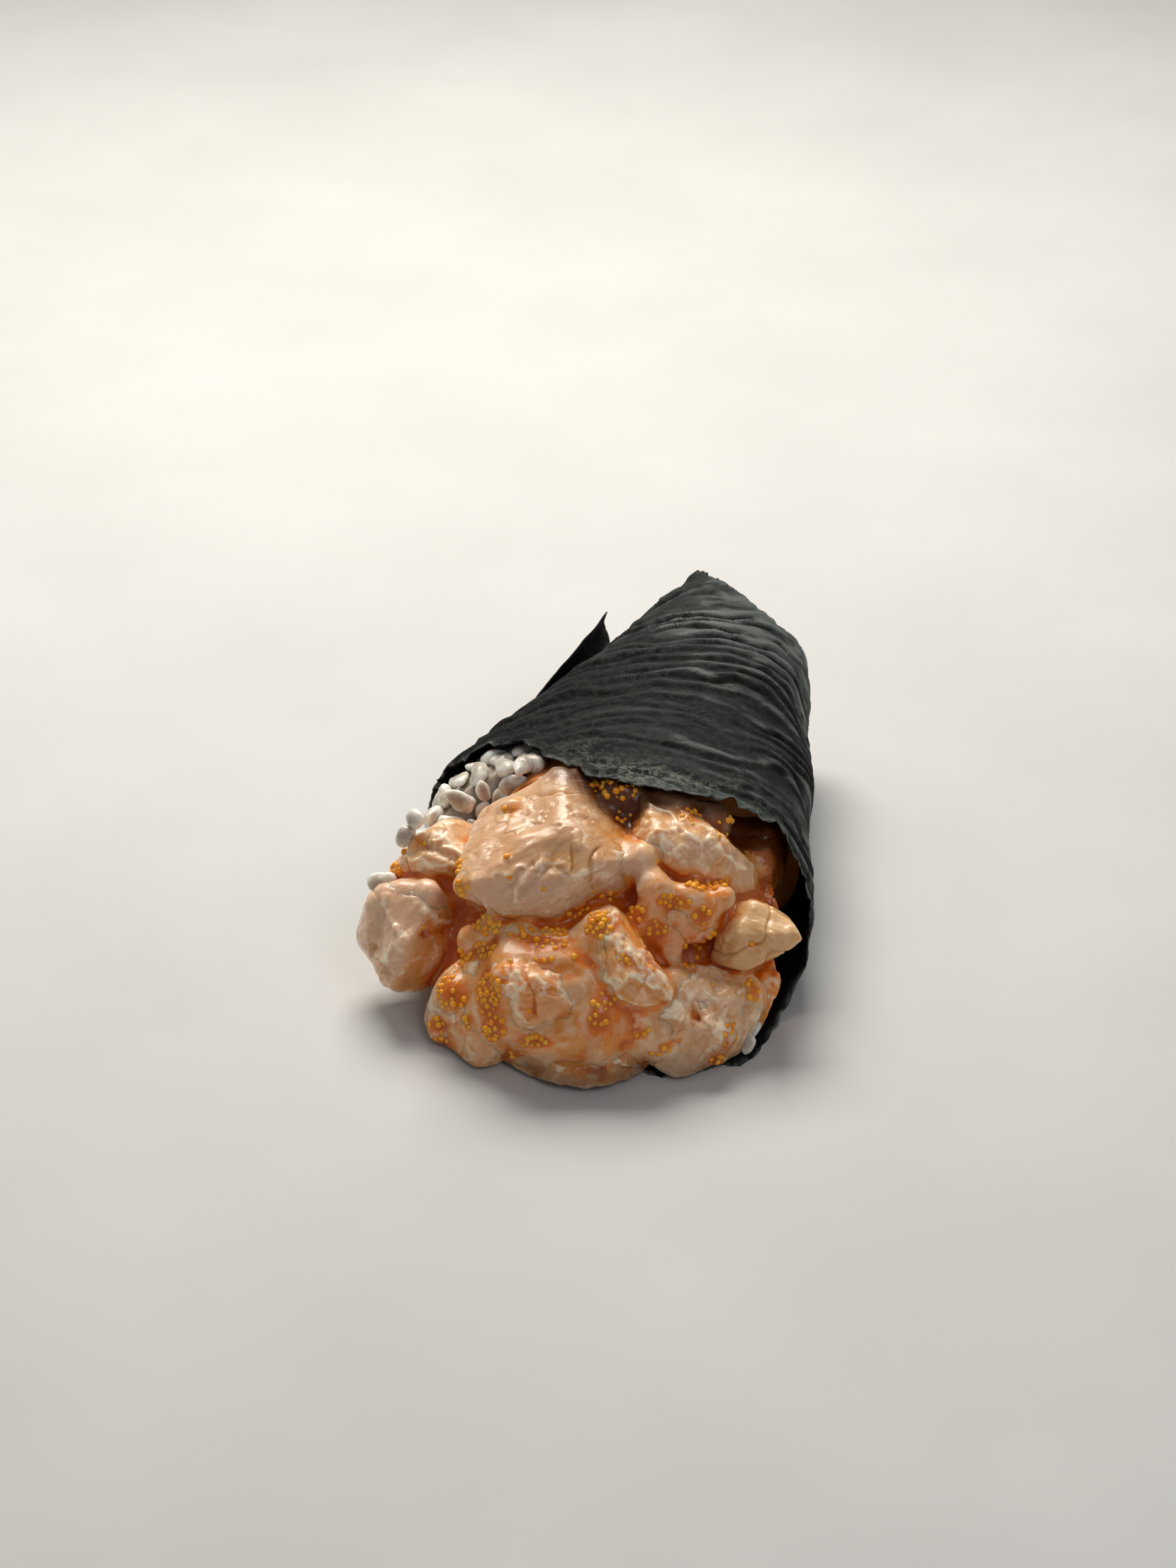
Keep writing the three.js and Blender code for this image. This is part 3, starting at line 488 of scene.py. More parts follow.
# corners on the heap's face (across, up), how far out the middle stands, front facets (slope right,
# slope up, height), depth behind, how sharp the edges are, creases, pale raised seams, how much painted
# shade each facet takes, how much dressing clings, how golden and how orange the flesh is, and which way it
# runs
PIECES = [
    dict(name="scallop_front_wedge",
         corners=[(2, -3), (8, -2), (12, -7), (19, -18), (15, -21), (9, -20), (2, -17), (-2, -9)],
         out=4, front=[(-0.3, 0.2, 6.5), (1, 0.93, 11.8)], back=10, edge=14,
         seams=[[(2.9, -4.6), (8.6, -8.2), (12.1, -11.7), (14.1, -14.8), (17.6, -19.9)],
                [(2.9, -15.8), (7, -14.8), (8.6, -16.2), (13.1, -15.2)]],
         shade=[0, 0.3], milk=0.55, gold=0.15, warm=0.2, fibre=(0.5, -0.85, 0.1)),
    dict(name="scallop_front_ridge",
         corners=[(1, -15), (8, -16), (11, -21), (11, -31), (6, -33), (1, -26)],
         out=5, front=[(-0.5, 0.15, 4.8), (0.6, 0.1, 5)], back=8, edge=10,
         shade=[0, 0.3], milk=0.6, gold=0.2, warm=0.25, fibre=(0.2, 1, 0.2)),
    dict(name="scallop_right_tip",
         corners=[(30, -1), (36, -1), (43, -4.5), (44.5, -8), (39, -12), (34, -14), (28, -12), (29, -6)],
         out=-5, front=[(0.05, 0.6, 5.5), (0.1, -0.45, 6.2)], back=9, edge=20,
         shade=[0, 0.12], milk=0.1, gold=0.8, warm=0.0, fibre=(1, -0.5, 0.1)),
    dict(name="scallop_top",
         corners=[(-2, 27.5), (11, 14), (14.5, 9.5), (9, 1), (1, -5.5), (-12, -5.5), (-22, 2), (-23, 7),
                  (-19, 18)],
         out=-5, front=[(-0.1, 0.5, 9.5), (-0.11, -0.43, 12.3), (1, -0.93, 22.8)], back=9, edge=22,
         folds=[((-5, 7), (-12, 1), 0.7, 0.9), ((-9, 6.5), (-15, 2), 0.6, 0.9)],
         seams=[[(11.1, 10.9), (2.9, 4.5), (-4.7, 7.4), (-9.2, 6.7), (-12.4, 0.4)],
                [(-9.2, 6.7), (-15.5, 5.4), (-21, 4.7)],
                [(-13, 18.4), (-3.4, 26)]],
         shade=[0.36, 0.08, 0.2], milk=0.35, gold=0.2, warm=-0.26, fibre=(1, 0.85, 0.1)),
    dict(name="scallop_front",
         corners=[(-17, -12), (-12, -9), (-5, -13), (3, -14), (5, -24), (3, -31), (-12, -32), (-15, -22)],
         out=1, front=[(0.1, 1, 14.4), (-0.05, -0.2, 9.5)], back=12, edge=14,
         folds=[((-12, -14), (-12, -13.5), -1.4, 4)],
         seams=[[(-12.9, -18.3), (-8.2, -16.2), (-4.7, -14.8), (-1.6, -15.2), (2.4, -13.2)]],
         shade=[0, 0.15], milk=0.65, gold=0.0, warm=0.25, fibre=(1, 0.1, 0.3)),
    dict(name="scallop_front_slab",
         corners=[(-16, -28), (-2, -28), (9, -29), (14, -33), (13, -35.5), (2, -37), (-15, -35)],
         out=2.5, front=[(0.15, 1.1, 7.6), (0, -0.4, 7.4)], back=12, edge=18,
         seams=[[(0.4, -29), (6.6, -31.5), (12.8, -33.8)]],
         shade=[0.36, 0.95], milk=0.5, gold=0.0, warm=-0.1, fibre=(1, -0.1, 0)),
    dict(name="scallop_low_right",
         corners=[(19, -15), (27, -14), (33, -15), (37, -22), (36, -26), (31, -34), (22, -36), (13, -30),
                  (12, -23)],
         out=-2, front=[(0.15, 0.5, 8.5), (0.05, -0.35, 8.5), (0.8, -0.1, 12)], back=12, edge=14,
         folds=[((20, -19), (24, -24), 1, 1.2), ((24, -24), (22, -31), 0.8, 1.3),
                ((28, -16), (29, -24), 0.9, 1.2),
                ((29, -24), (33, -27), 0.7, 1.2)],
         seams=[[(19.2, -17.3), (21.2, -18.3), (22.8, -17.3), (24.3, -15.7), (30.5, -14.9), (36, -17)],
                [(24.2, -21.1), (26.8, -24.8), (28.3, -28.4)],
                [(20.1, -27.4), (16.6, -29.9)]],
         shade=[0.2, 0.26, 0.34], milk=0.8, gold=0.0, warm=-0.12, fibre=(0.3, 1, 0.2)),
    dict(name="scallop_right",
         corners=[(11, 21), (15, 22), (27, 15), (36.5, 6), (35.5, 1), (26, -1), (14, 0), (11.5, 7),
                  (10, 14)],
         out=-9, front=[(0.35, 0.5, 9), (-0.15, -0.35, 9)], back=9, edge=15,
         folds=[((14, 9), (19, 4), 0.8, 1.2), ((19, 4), (31, 4), 0.5, 1.4)],
         seams=[[(13.1, 19.9), (19.6, 17), (26.8, 11.3), (34.7, 6.2)],
                [(13.9, 9.8), (16, 14.1), (21, 14.8)]],
         shade=[0, 0.1], milk=0.5, gold=0.25, warm=0.08, fibre=(1, -0.7, 0.2)),
    dict(name="scallop_right_under",
         corners=[(12.5, 3), (21, 1.5), (33, 0.5), (31, -4.5), (24, -8.5), (17, -9), (12, -4)],
         out=-6.5, front=[(0.1, 0.3, 7.6), (0.15, -0.35, 7.8)], back=8, edge=10,
         shade=[0, 0.25], milk=0.55, gold=0.1, warm=0.22, fibre=(1, 0.2, 0.3)),
    dict(name="scallop_low_left",
         corners=[(-22, -11), (-17, -8), (-13, -14), (-14, -23), (-12, -33), (-21, -33), (-29, -30),
                  (-31, -25), (-29, -19)],
         out=-5, front=[(-0.35, 0.4, 8.5), (-0.3, -0.35, 8.5), (0.35, 0.1, 8.5)], back=11, edge=12,
         folds=[((-24, -13), (-21, -25), 0.8, 1.6)],
         shade=[0, 0.15, 0.2], milk=0.65, gold=0.1, warm=0.2, fibre=(0.4, 1, 0.3)),
    dict(name="scallop_left_slab",
         corners=[(-41, 2), (-24, 3), (-18, -2), (-21, -8), (-29, -17), (-35, -19), (-40, -17), (-45, -10),
                  (-45, -5)],
         out=-14, front=[(-0.25, 0.35, 8.5), (-0.3, -0.2, 8.5), (0.9, -1.09, 11.5)], back=9, edge=14,
         folds=[((-40, -2), (-42, -10), 1.1, 1.3), ((-42, -10), (-38, -17), 0.9, 1.3),
                ((-29, -1), (-31, -7), 0.9, 1.2), ((-31, -7), (-26, -6), 0.7, 1.2)],
         seams=[[(-30.4, -1.7), (-28.2, -4.4), (-23.6, -2.9)],
                [(-39.8, 0.3), (-37.7, -5), (-35.1, -8.2), (-38.7, -12.8)]],
         shade=[0, 0.1, 0.5], milk=0.45, gold=0.15, warm=-0.14, fibre=(0.6, 0.7, 0.1)),
    dict(name="scallop_left_fold",
         corners=[(-32, 13), (-28, 16), (-20, 15), (-18, 8), (-23, 0), (-36, 0), (-39, 5)],
         out=-18, front=[(-0.3, 0.45, 8), (-0.2, -0.4, 8)], back=8, edge=12,
         folds=[((-32, 11), (-23, 7), 1, 1), ((-31, 8), (-24, 5), 0.9, 0.9),
                ((-35, 5), (-25, 3), 0.9, 1.2)],
         seams=[[(-32.2, 11.6), (-27.4, 12.8), (-23.1, 9.9)],
                [(-35.5, 8.4), (-31.1, 7.7), (-23.8, 6.7)]],
         shade=[0, 0.2], milk=0.45, gold=0.4, warm=0.08, fibre=(1, -0.5, 0.2)),
    dict(name="scallop_right_edge",
         corners=[(34, -14), (40, -12), (41, -18), (37, -27), (34, -22)],
         out=-9, front=[(0.3, 0, 4)], back=8, edge=9,
         shade=[0], milk=0.5, gold=0.0, warm=0.4, fibre=(0.2, 1, 0.2)),
    dict(name="scallop_right_back",
         corners=[(36, 7), (40, 3), (42, -7), (37, -8), (32, 0)],
         out=-16, front=[(0.2, 0.1, 4)], back=8, edge=9,
         shade=[0.5], milk=0.2, gold=0.1, warm=0.5, fibre=(0.2, 1, 0.2)),
    dict(name="scallop_inside",
         corners=[(22, 21), (34, 20), (43, 14), (44, 6), (41, 2), (35, 5), (26, 13)],
         out=-22, front=[(0.2, 0.1, 5)], back=8, edge=9,
         shade=[0.9], milk=0.15, gold=0.0, warm=0.05, fibre=(1, 0.3, 0.2)),
]

LEAN_SIN = math.sin(math.radians(FACE["lean"]))
LEAN_COS = math.cos(math.radians(FACE["lean"]))


def on_face(q):
    """From the heap's face (across, up, out) to the scene's millimetres."""
    return xyz(FACE["x"] + q[..., 0], FACE["y"] + q[..., 1] * LEAN_SIN - q[..., 2] * LEAN_COS,
                 FACE["z"] + q[..., 1] * LEAN_COS + q[..., 2] * LEAN_SIN)


def to_face(p):
    y, z = p[..., 1] - FACE["y"], p[..., 2] - FACE["z"]
    return xyz(p[..., 0] - FACE["x"], y * LEAN_SIN + z * LEAN_COS, z * LEAN_SIN - y * LEAN_COS)


def find_planes(piece):
    """The planes that bound a piece, as direction and distance from its middle."""
    corners = np.array(piece["corners"], float)
    middle = corners.mean(axis=0)
    # the back takes 0.4 of painted shade, each side 0.15, each front facet its own shade from the table
    planes = [(np.array([0, 0, -1.0]), piece["back"], 0.4)]
    for (right, up, height), shade in zip(piece["front"], piece.get("shade", [0, 0, 0])):
        facing = np.array([right, up, 1.0])
        planes.append((facing / np.linalg.norm(facing), height / np.linalg.norm(facing), shade))
    for a, b in zip(corners, np.roll(corners, -1, axis=0)):
        side = unit(np.array([a[1] - b[1], b[0] - a[0], 0.0]))
        planes.append((side, (side[:2] @ (a - middle)) * 1.05 + 0.3, 0.15))
    piece["middle"] = np.array([middle[0], middle[1], piece["out"]])
    piece["planes"] = planes


def off_line(places, line):
    """How far places across and up the face are from a line through some points."""
    best = np.full(places.shape[:-1], 99.0)
    for start, end in zip(np.array(line[:-1], float), np.array(line[1:], float)):
        along = end - start
        t = np.clip((places - start) @ along / max(along @ along, 1e-6), 0, 1)
        best = np.minimum(best, np.linalg.norm(places - start - t[..., None] * along, axis=-1))
    return best


def reach(piece, d):
    """How far the surface is from the piece's middle along unit directions, how near an edge that is, and
    how much painted shade the facet takes there."""
    total = np.zeros(d.shape[:-1])
    most = np.zeros(d.shape[:-1])
    dark = np.zeros(d.shape[:-1])
    for facing, distance, shade in piece["planes"]:
        term = np.maximum(d @ facing / distance, 0) ** piece["edge"]
        total += term
        dark += shade * term
        most = np.maximum(most, term)
    r = total ** (-1 / piece["edge"])
    k = piece["corners"][0][0]
    u, v, w = d[..., 0], d[..., 1], d[..., 2]
    r = r * (1 + 0.03 * (np.sin(4.3 * u + 2.1 * v + k) + np.sin(3.7 * v - 3.1 * w + 2 * k)))
    for start, end, depth, width in piece.get("folds", []):
        places = d[..., :2] * r[..., None] + piece["middle"][:2]
        r = r - (w > 0) * depth * np.exp(-(off_line(places, [start, end]) / width) ** 2)
    return r, 1 - most / total, dark / total


def cut_flats(piece, number):
    """Adds the small flats that the knife leaves on the front, each with the painted shade of the facet it
    cuts, a little lighter or darker.
    """
    chance = np.random.default_rng(200 + number)
    for _ in range(6):
        facing = unit(np.array([*chance.uniform(-1.1, 1.1, 2), 0.7]))
        far, _, dark = reach(piece, facing)
        piece["planes"].append((facing, far - chance.uniform(0.2, 0.8), dark + chance.uniform(-0.08, 0.12)))


find_planes(HEAP)
for number, piece in enumerate(PIECES):
    find_planes(piece)
    cut_flats(piece, number)

# how far each place of the heap is from the nearest piece, which one that is, and the dressing: a skin
# just under the pieces' own that swells where two of them meet
STEP = 0.55
LOW = np.array([-54.0, -46.0, -46.0])
HIGH = np.array([54.0, 36.0, 20.0])
POOL = 1.6                                # how widely dressing pools where two pieces meet, mm
SUNK = 0.95                               # how far it lies under a clean piece's surface, mm
CLING = 0.45                              # and how much higher on one that is well coated
axes = [np.arange(LOW[i], HIGH[i], STEP) for i in range(3)]
nearest = np.full([len(a) for a in axes], 50.0, np.float32)
owner = np.full(nearest.shape, len(PIECES), np.int8)
fillet = np.zeros(nearest.shape, np.float32)


def window(low, high):
    """The part of the grid between two corners."""
    first, last = ((np.asarray(end) - LOW) / STEP for end in (low, high))
    return tuple(slice(max(0, int(a)), int(b) + 1) for a, b in zip(first, last))


def places_in(part):
    return np.stack(np.meshgrid(*(axes[i][part[i]] for i in range(3)), indexing="ij"), axis=-1)


for number, piece in enumerate([*PIECES, HEAP]):
    corners = np.array(piece["corners"], float)
    low = np.array([*corners.min(0), piece["out"] - piece["back"]]) - 4
    part = window(low, np.array([*corners.max(0), piece["out"] + 16]) + 4)
    away = places_in(part) - piece["middle"]
    length = np.linalg.norm(away, axis=-1) + 1e-6
    clear = (length - reach(piece, away / length[..., None])[0]).astype(np.float32)
    owner[part] = np.where(clear < nearest[part], number, owner[part])
    nearest[part] = np.minimum(nearest[part], clear)
    sunk = 0 if piece is HEAP else SUNK - CLING * piece["milk"]
    fillet[part] += np.exp(-np.clip(clear + sunk, -20, 20) / POOL)


def look_up(grid, q):
    """The grid's value at points on the face, evened out between its cells."""
    at = np.clip((q - LOW) / STEP, 0, np.array(grid.shape) - 1.001)
    cell = at.astype(int)
    return between_corners(cell, at - cell, lambda c: grid[c[..., 0], c[..., 1], c[..., 2]])


def front_of(grid, spots):
    """Where each place across and up the face first meets the solid, coming from the front."""
    outs = axes[2][::-1]
    column = np.stack([np.repeat(spots[:, :1], len(outs), 1), np.repeat(spots[:, 1:2], len(outs), 1),
                       np.repeat(outs[None, :], len(spots), 0)], axis=-1)
    inside = look_up(grid, column) < 0
    return np.where(inside.any(axis=1), outs[inside.argmax(axis=1)], np.nan)


# where dressing fills between pieces: across, up, how far out, how wide
BRIDGES = [(-11, -8, 1.0, 4.4), (-4.5, -9.5, 2.0, 4.6), (-17.5, -6.5, -1.8, 4.2), (-22, -8, -4.5, 3.6),
           (2, -8.5, 3.5, 4), (-1, -12.5, 5.5, 4), (1.5, -17, 7, 3.6), (-5.5, -12.5, 5.2, 3.4),
           (-14, -11.8, 3.2, 3.4), (15.5, 2.2, 0.8, 4.8), (12.8, 8.5, -1, 3.8), (-1.5, -28, 6.8, 4.2),
           (23, 0.4, 0, 3.6), (30, 0.4, -2, 3.4), (19, -11, -3, 2.4), (-30, 1.5, -10, 3),
           (-36, 1.5, -13, 2.6), (-15.5, -18, 3, 3.2), (-15, -25, 4, 3), (-6, -28.6, 7.4, 2.8),
           (5, -29.6, 8, 2.6), (3.5, -22, 7.6, 3), (12.5, -27, 3, 2.6), (9, -14, 6, 2.6),
           (13.5, -3.5, 0, 3), (28, 16, -13, 6), (20, 20, -11, 6), (9, 22, -12, 6.5), (38, 8, -18, 5),
           (13, -20, 4, 2.4), (20, -16, 1.5, 2.6)]
# clumps of roe: across, up, half width, half height, turn in degrees, and how full
CLUMPS = [(-25, -19.2, 2.9, 3.4, 20, 1), (-17.5, -19, 2.4, 4.4, -5, 1), (-16.6, -25.6, 2.2, 2.4, 0, 1),
          (-19.8, -10.9, 4.6, 1.7, 30, 0.6), (-5.4, -8.1, 4.4, 2.2, 0, 0.9),
          (4.6, -5.1, 2.7, 2.5, 0, 1), (0.4, -2.6, 2.4, 1.2, 20, 0.6), (12.4, -3.1, 1.9, 1.5, 0, 0.8),
          (15.8, -5.9, 2.2, 1.8, 0, 0.9), (1.7, -12.2, 3, 1, -25, 0.6), (5.2, -19.9, 2.6, 1.2, 10, 0.7),
          (4.2, -24, 1.9, 2.8, -10, 1), (-8.2, -28.3, 3, 1.2, -5, 0.9), (-28.3, -25.8, 1.7, 1.5, 0, 1),
          (-27, -29.4, 2.6, 1.1, -15, 0.9), (12.9, -25.8, 1.5, 2.8, 10, 0.9),
          (17.9, -29.2, 3.2, 1.2, 25, 0.9), (7.4, 22.6, 5, 3, -25, 0.8), (9.6, 17.3, 2.3, 1.6, 30, 0.9),
          (23, 16.8, 3, 1.6, -40, 0.6), (30, 14.8, 2.4, 2.6, 0, 0.35), (28.6, 3.6, 3, 1.5, 10, 0.65),
          (23.6, 2.5, 2.4, 1.1, 0, 0.6), (19.5, -0.4, 3.6, 1.3, -12, 0.75),
          (25.1, -3.3, 1.7, 1.7, 0, 1), (6.6, 0.6, 3.4, 0.9, 5, 0.6), (25, -8.4, 3.6, 1.6, 20, 0.6),
          (23.8, -13.3, 2.8, 1.1, 30, 0.6), (10, -12, 2.4, 1.6, -50, 0.6),
          (35.6, -18.5, 1.3, 2, 15, 0.9), (30.8, -27.4, 1.4, 2.8, -15, 0.8),
          (28.2, -33, 1.5, 1.8, -30, 1), (-13, 18.5, 2.2, 1.4, 25, 0.9),
          (-32.4, 11.6, 1.1, 0.9, 0, 0.9), (-37.4, 5.5, 1.2, 1.9, -20, 0.8),
          (-23, 2.3, 1.6, 1.4, 0, 0.9), (-18, -5, 2.8, 2, 0, 0.8), (-10.5, -7, 3.4, 1.5, 0, 0.55),
          (-22.6, -11.4, 1.7, 1.4, 0, 0.8), (-6.4, -12.4, 1.8, 0.8, 0, 0.7),
          (-21.4, -24.5, 1.2, 1.6, 0, 0.5), (-12, -31, 1.6, 0.8, 0, 0.5), (-2.5, -15.8, 3, 0.8, 5, 0.3),
          (-24, 6.6, 0.9, 1.2, 0, 0.8)]
STRAYS = [(-14, 8.5), (-6.6, 2.2), (-13.5, 4.6), (2.6, 2.8), (3, 1.9), (-31.6, -5.6), (-44, -8),
          (-35.8, 9.6), (16, 7.6), (28.6, 6.6), (27.3, -17.5), (-13, -12.4), (-9.6, -22), (37, -10.5),
          (35.4, -9), (15, -14)]

# the deepest hollows, where flesh and dressing take the darkest painted shade: across, up, how wide, how
# dark
HOLLOWS = [(11, 20, 6, 0.6), (23.5, -8.5, 4.5, 0.5), (-23, -6, 4, 0.35), (-14, -8, 4, 0.25),
           (31, 16, 6, 0.5), (14, -2, 3, 0.2), (39, 2, 6, 0.4), (-4, -10.5, 4, 0.4),
           (0, -12.5, 3, 0.35)]


def clump_distance(places, clump):
    """How far places are from the middle of a clump, 1 at its rim."""
    across, up, wide, high, turn, _ = clump
    a = math.radians(turn)
    off = places - [across, up]
    along = off @ [math.cos(a), math.sin(a)]
    over = off @ [-math.sin(a), math.cos(a)]
    return np.hypot(along / wide, over / high)


for across, up, out, wide in BRIDGES:
    middle = np.array([across, up, out])
    part = window(middle - 3 * wide, middle + 3 * wide)
    clear = np.linalg.norm(places_in(part) - middle, axis=-1) - 0.62 * wide
    fillet[part] += np.exp(-np.clip(clear, -20, 20) / POOL)
for clump in CLUMPS:
    if clump[5] < 0.9:
        continue
    wide = 0.5 + min(clump[2], clump[3])
    middle = np.array([*clump[:2], front_of(nearest, np.array([clump[:2]]))[0] - 0.45 * wide])
    part = window(middle - 3 * wide, middle + 3 * wide)
    clear = np.linalg.norm((places_in(part) - middle) * [1, 1, 1.1], axis=-1) - 0.85 * wide
    fillet[part] += np.exp(-np.clip(clear, -20, 20) / POOL)

everywhere = np.stack(np.meshgrid(*axes, indexing="ij"), axis=-1)
dressing_skin = -POOL * np.log(np.maximum(fillet, 1e-12))
dressing_skin = dressing_skin + 0.3 * lumps(everywhere, 3.4, 33) + 0.14 * lumps(everywhere, 1.5, 34)
solid_skin = np.minimum(nearest, dressing_skin)


def blurred(grid, reach_cells):
    """The grid's mean over a cube of cells round each place."""
    for axis in range(3):
        size = 2 * reach_cells + 1
        border = [(reach_cells + 1, reach_cells) if i == axis else (0, 0) for i in range(3)]
        sums = np.cumsum(np.pad(grid, border, mode="edge"), axis=axis)
        grid = (np.take(sums, range(size, sums.shape[axis]), axis) -
                np.take(sums, range(0, sums.shape[axis] - size), axis)) / size
    return grid


# how much of the room within about 4 mm is solid: a half on a flat face, less on a ridge, more in a hollow
crowded = blurred(blurred((solid_skin < 0).astype(np.float32), 4), 4)


def under_sheet(p, open_to, covered_from):
    """How far the sheet covers points, 0 to 1, with the cone's axis there and their places in its ring."""
    axis_x, axis_z = cone_ring(p[..., 1], True)[:2]
    dx, dz = p[..., 0] - axis_x, p[..., 2] - axis_z
    wide, high = cone_ring(p[..., 1], dx < 0)[2:]
    angle = np.degrees(np.arctan2(dz / high, -dx / wide))
    angle = np.where(angle < SHEET_START, angle + 360, angle)
    covered = eased(p[..., 1] - read_off(MOUTH_EDGE, angle), open_to, covered_from)
    return covered, axis_x, axis_z, dx, dz, np.hypot(dx / wide, dz / high) + 1e-6


def within_sheet(p, margin):
    """Presses points in off the seaweed where it covers them, and up off the table."""
    covered, axis_x, axis_z, dx, dz, ratio = under_sheet(p, -2.5, 1.0)
    radius = np.hypot(dx, dz) / ratio
    limit = 1 - (SHEET / 2 + margin + WAVE) / radius
    scale = 1 - covered * (1 - np.minimum(1, limit / ratio))
    return xyz(axis_x + dx * scale, p[..., 1], np.maximum(axis_z + dz * scale, SHEET + margin))


EGG = 1.45                                # how wide an egg is
EGG_SPACING = 0.68 * EGG                  # between the middles of two eggs, at least


def egg_places():
    """Middles of the roe: close together in the clumps, half sunk in what they lie on."""
    chance = np.random.default_rng(41)
    places = []
    for clump in CLUMPS:
        across, up, wide, high, _, full = clump
        spread = chance.uniform(-1, 1, (int(90 * wide * high), 2)) * max(wide, high) + [across, up]
        spread = spread[clump_distance(spread, clump) < 1]
        out = front_of(solid_skin, spread) + chance.uniform(-0.5, -0.05, len(spread)) * EGG
        found = on_face(np.stack([spread[:, 0], spread[:, 1], out], axis=1))[~np.isnan(out)]
        found = found[found[:, 2] > 2.2]
        packed = thinned(found, EGG_SPACING)[0]
        places.append(packed[chance.random(len(packed)) < full])
    lone = np.array(STRAYS, float)
    places.append(on_face(np.concatenate([lone, front_of(solid_skin, lone)[:, None] - 0.3], axis=1)))
    tail = skin(chance.uniform(75, 205, 14), np.full(14, 53.4), -chance.uniform(2.5, 11, 14), 2.0)
    tail[:, 1] = 54.3                                      # on the filling's face at the tail
    places = thinned(np.concatenate([*places, tail]), EGG_SPACING)[0]
    return within_sheet(places, GAP + EGG / 2)


EGGS = egg_places()
from_egg = np.full(nearest.shape, 6.0, np.float32)
for middle in to_face(EGGS[EGGS[:, 1] < 20]):
    part = window(middle - 4, middle + 4)
    from_egg[part] = np.minimum(from_egg[part], np.linalg.norm(places_in(part) - middle, axis=-1))


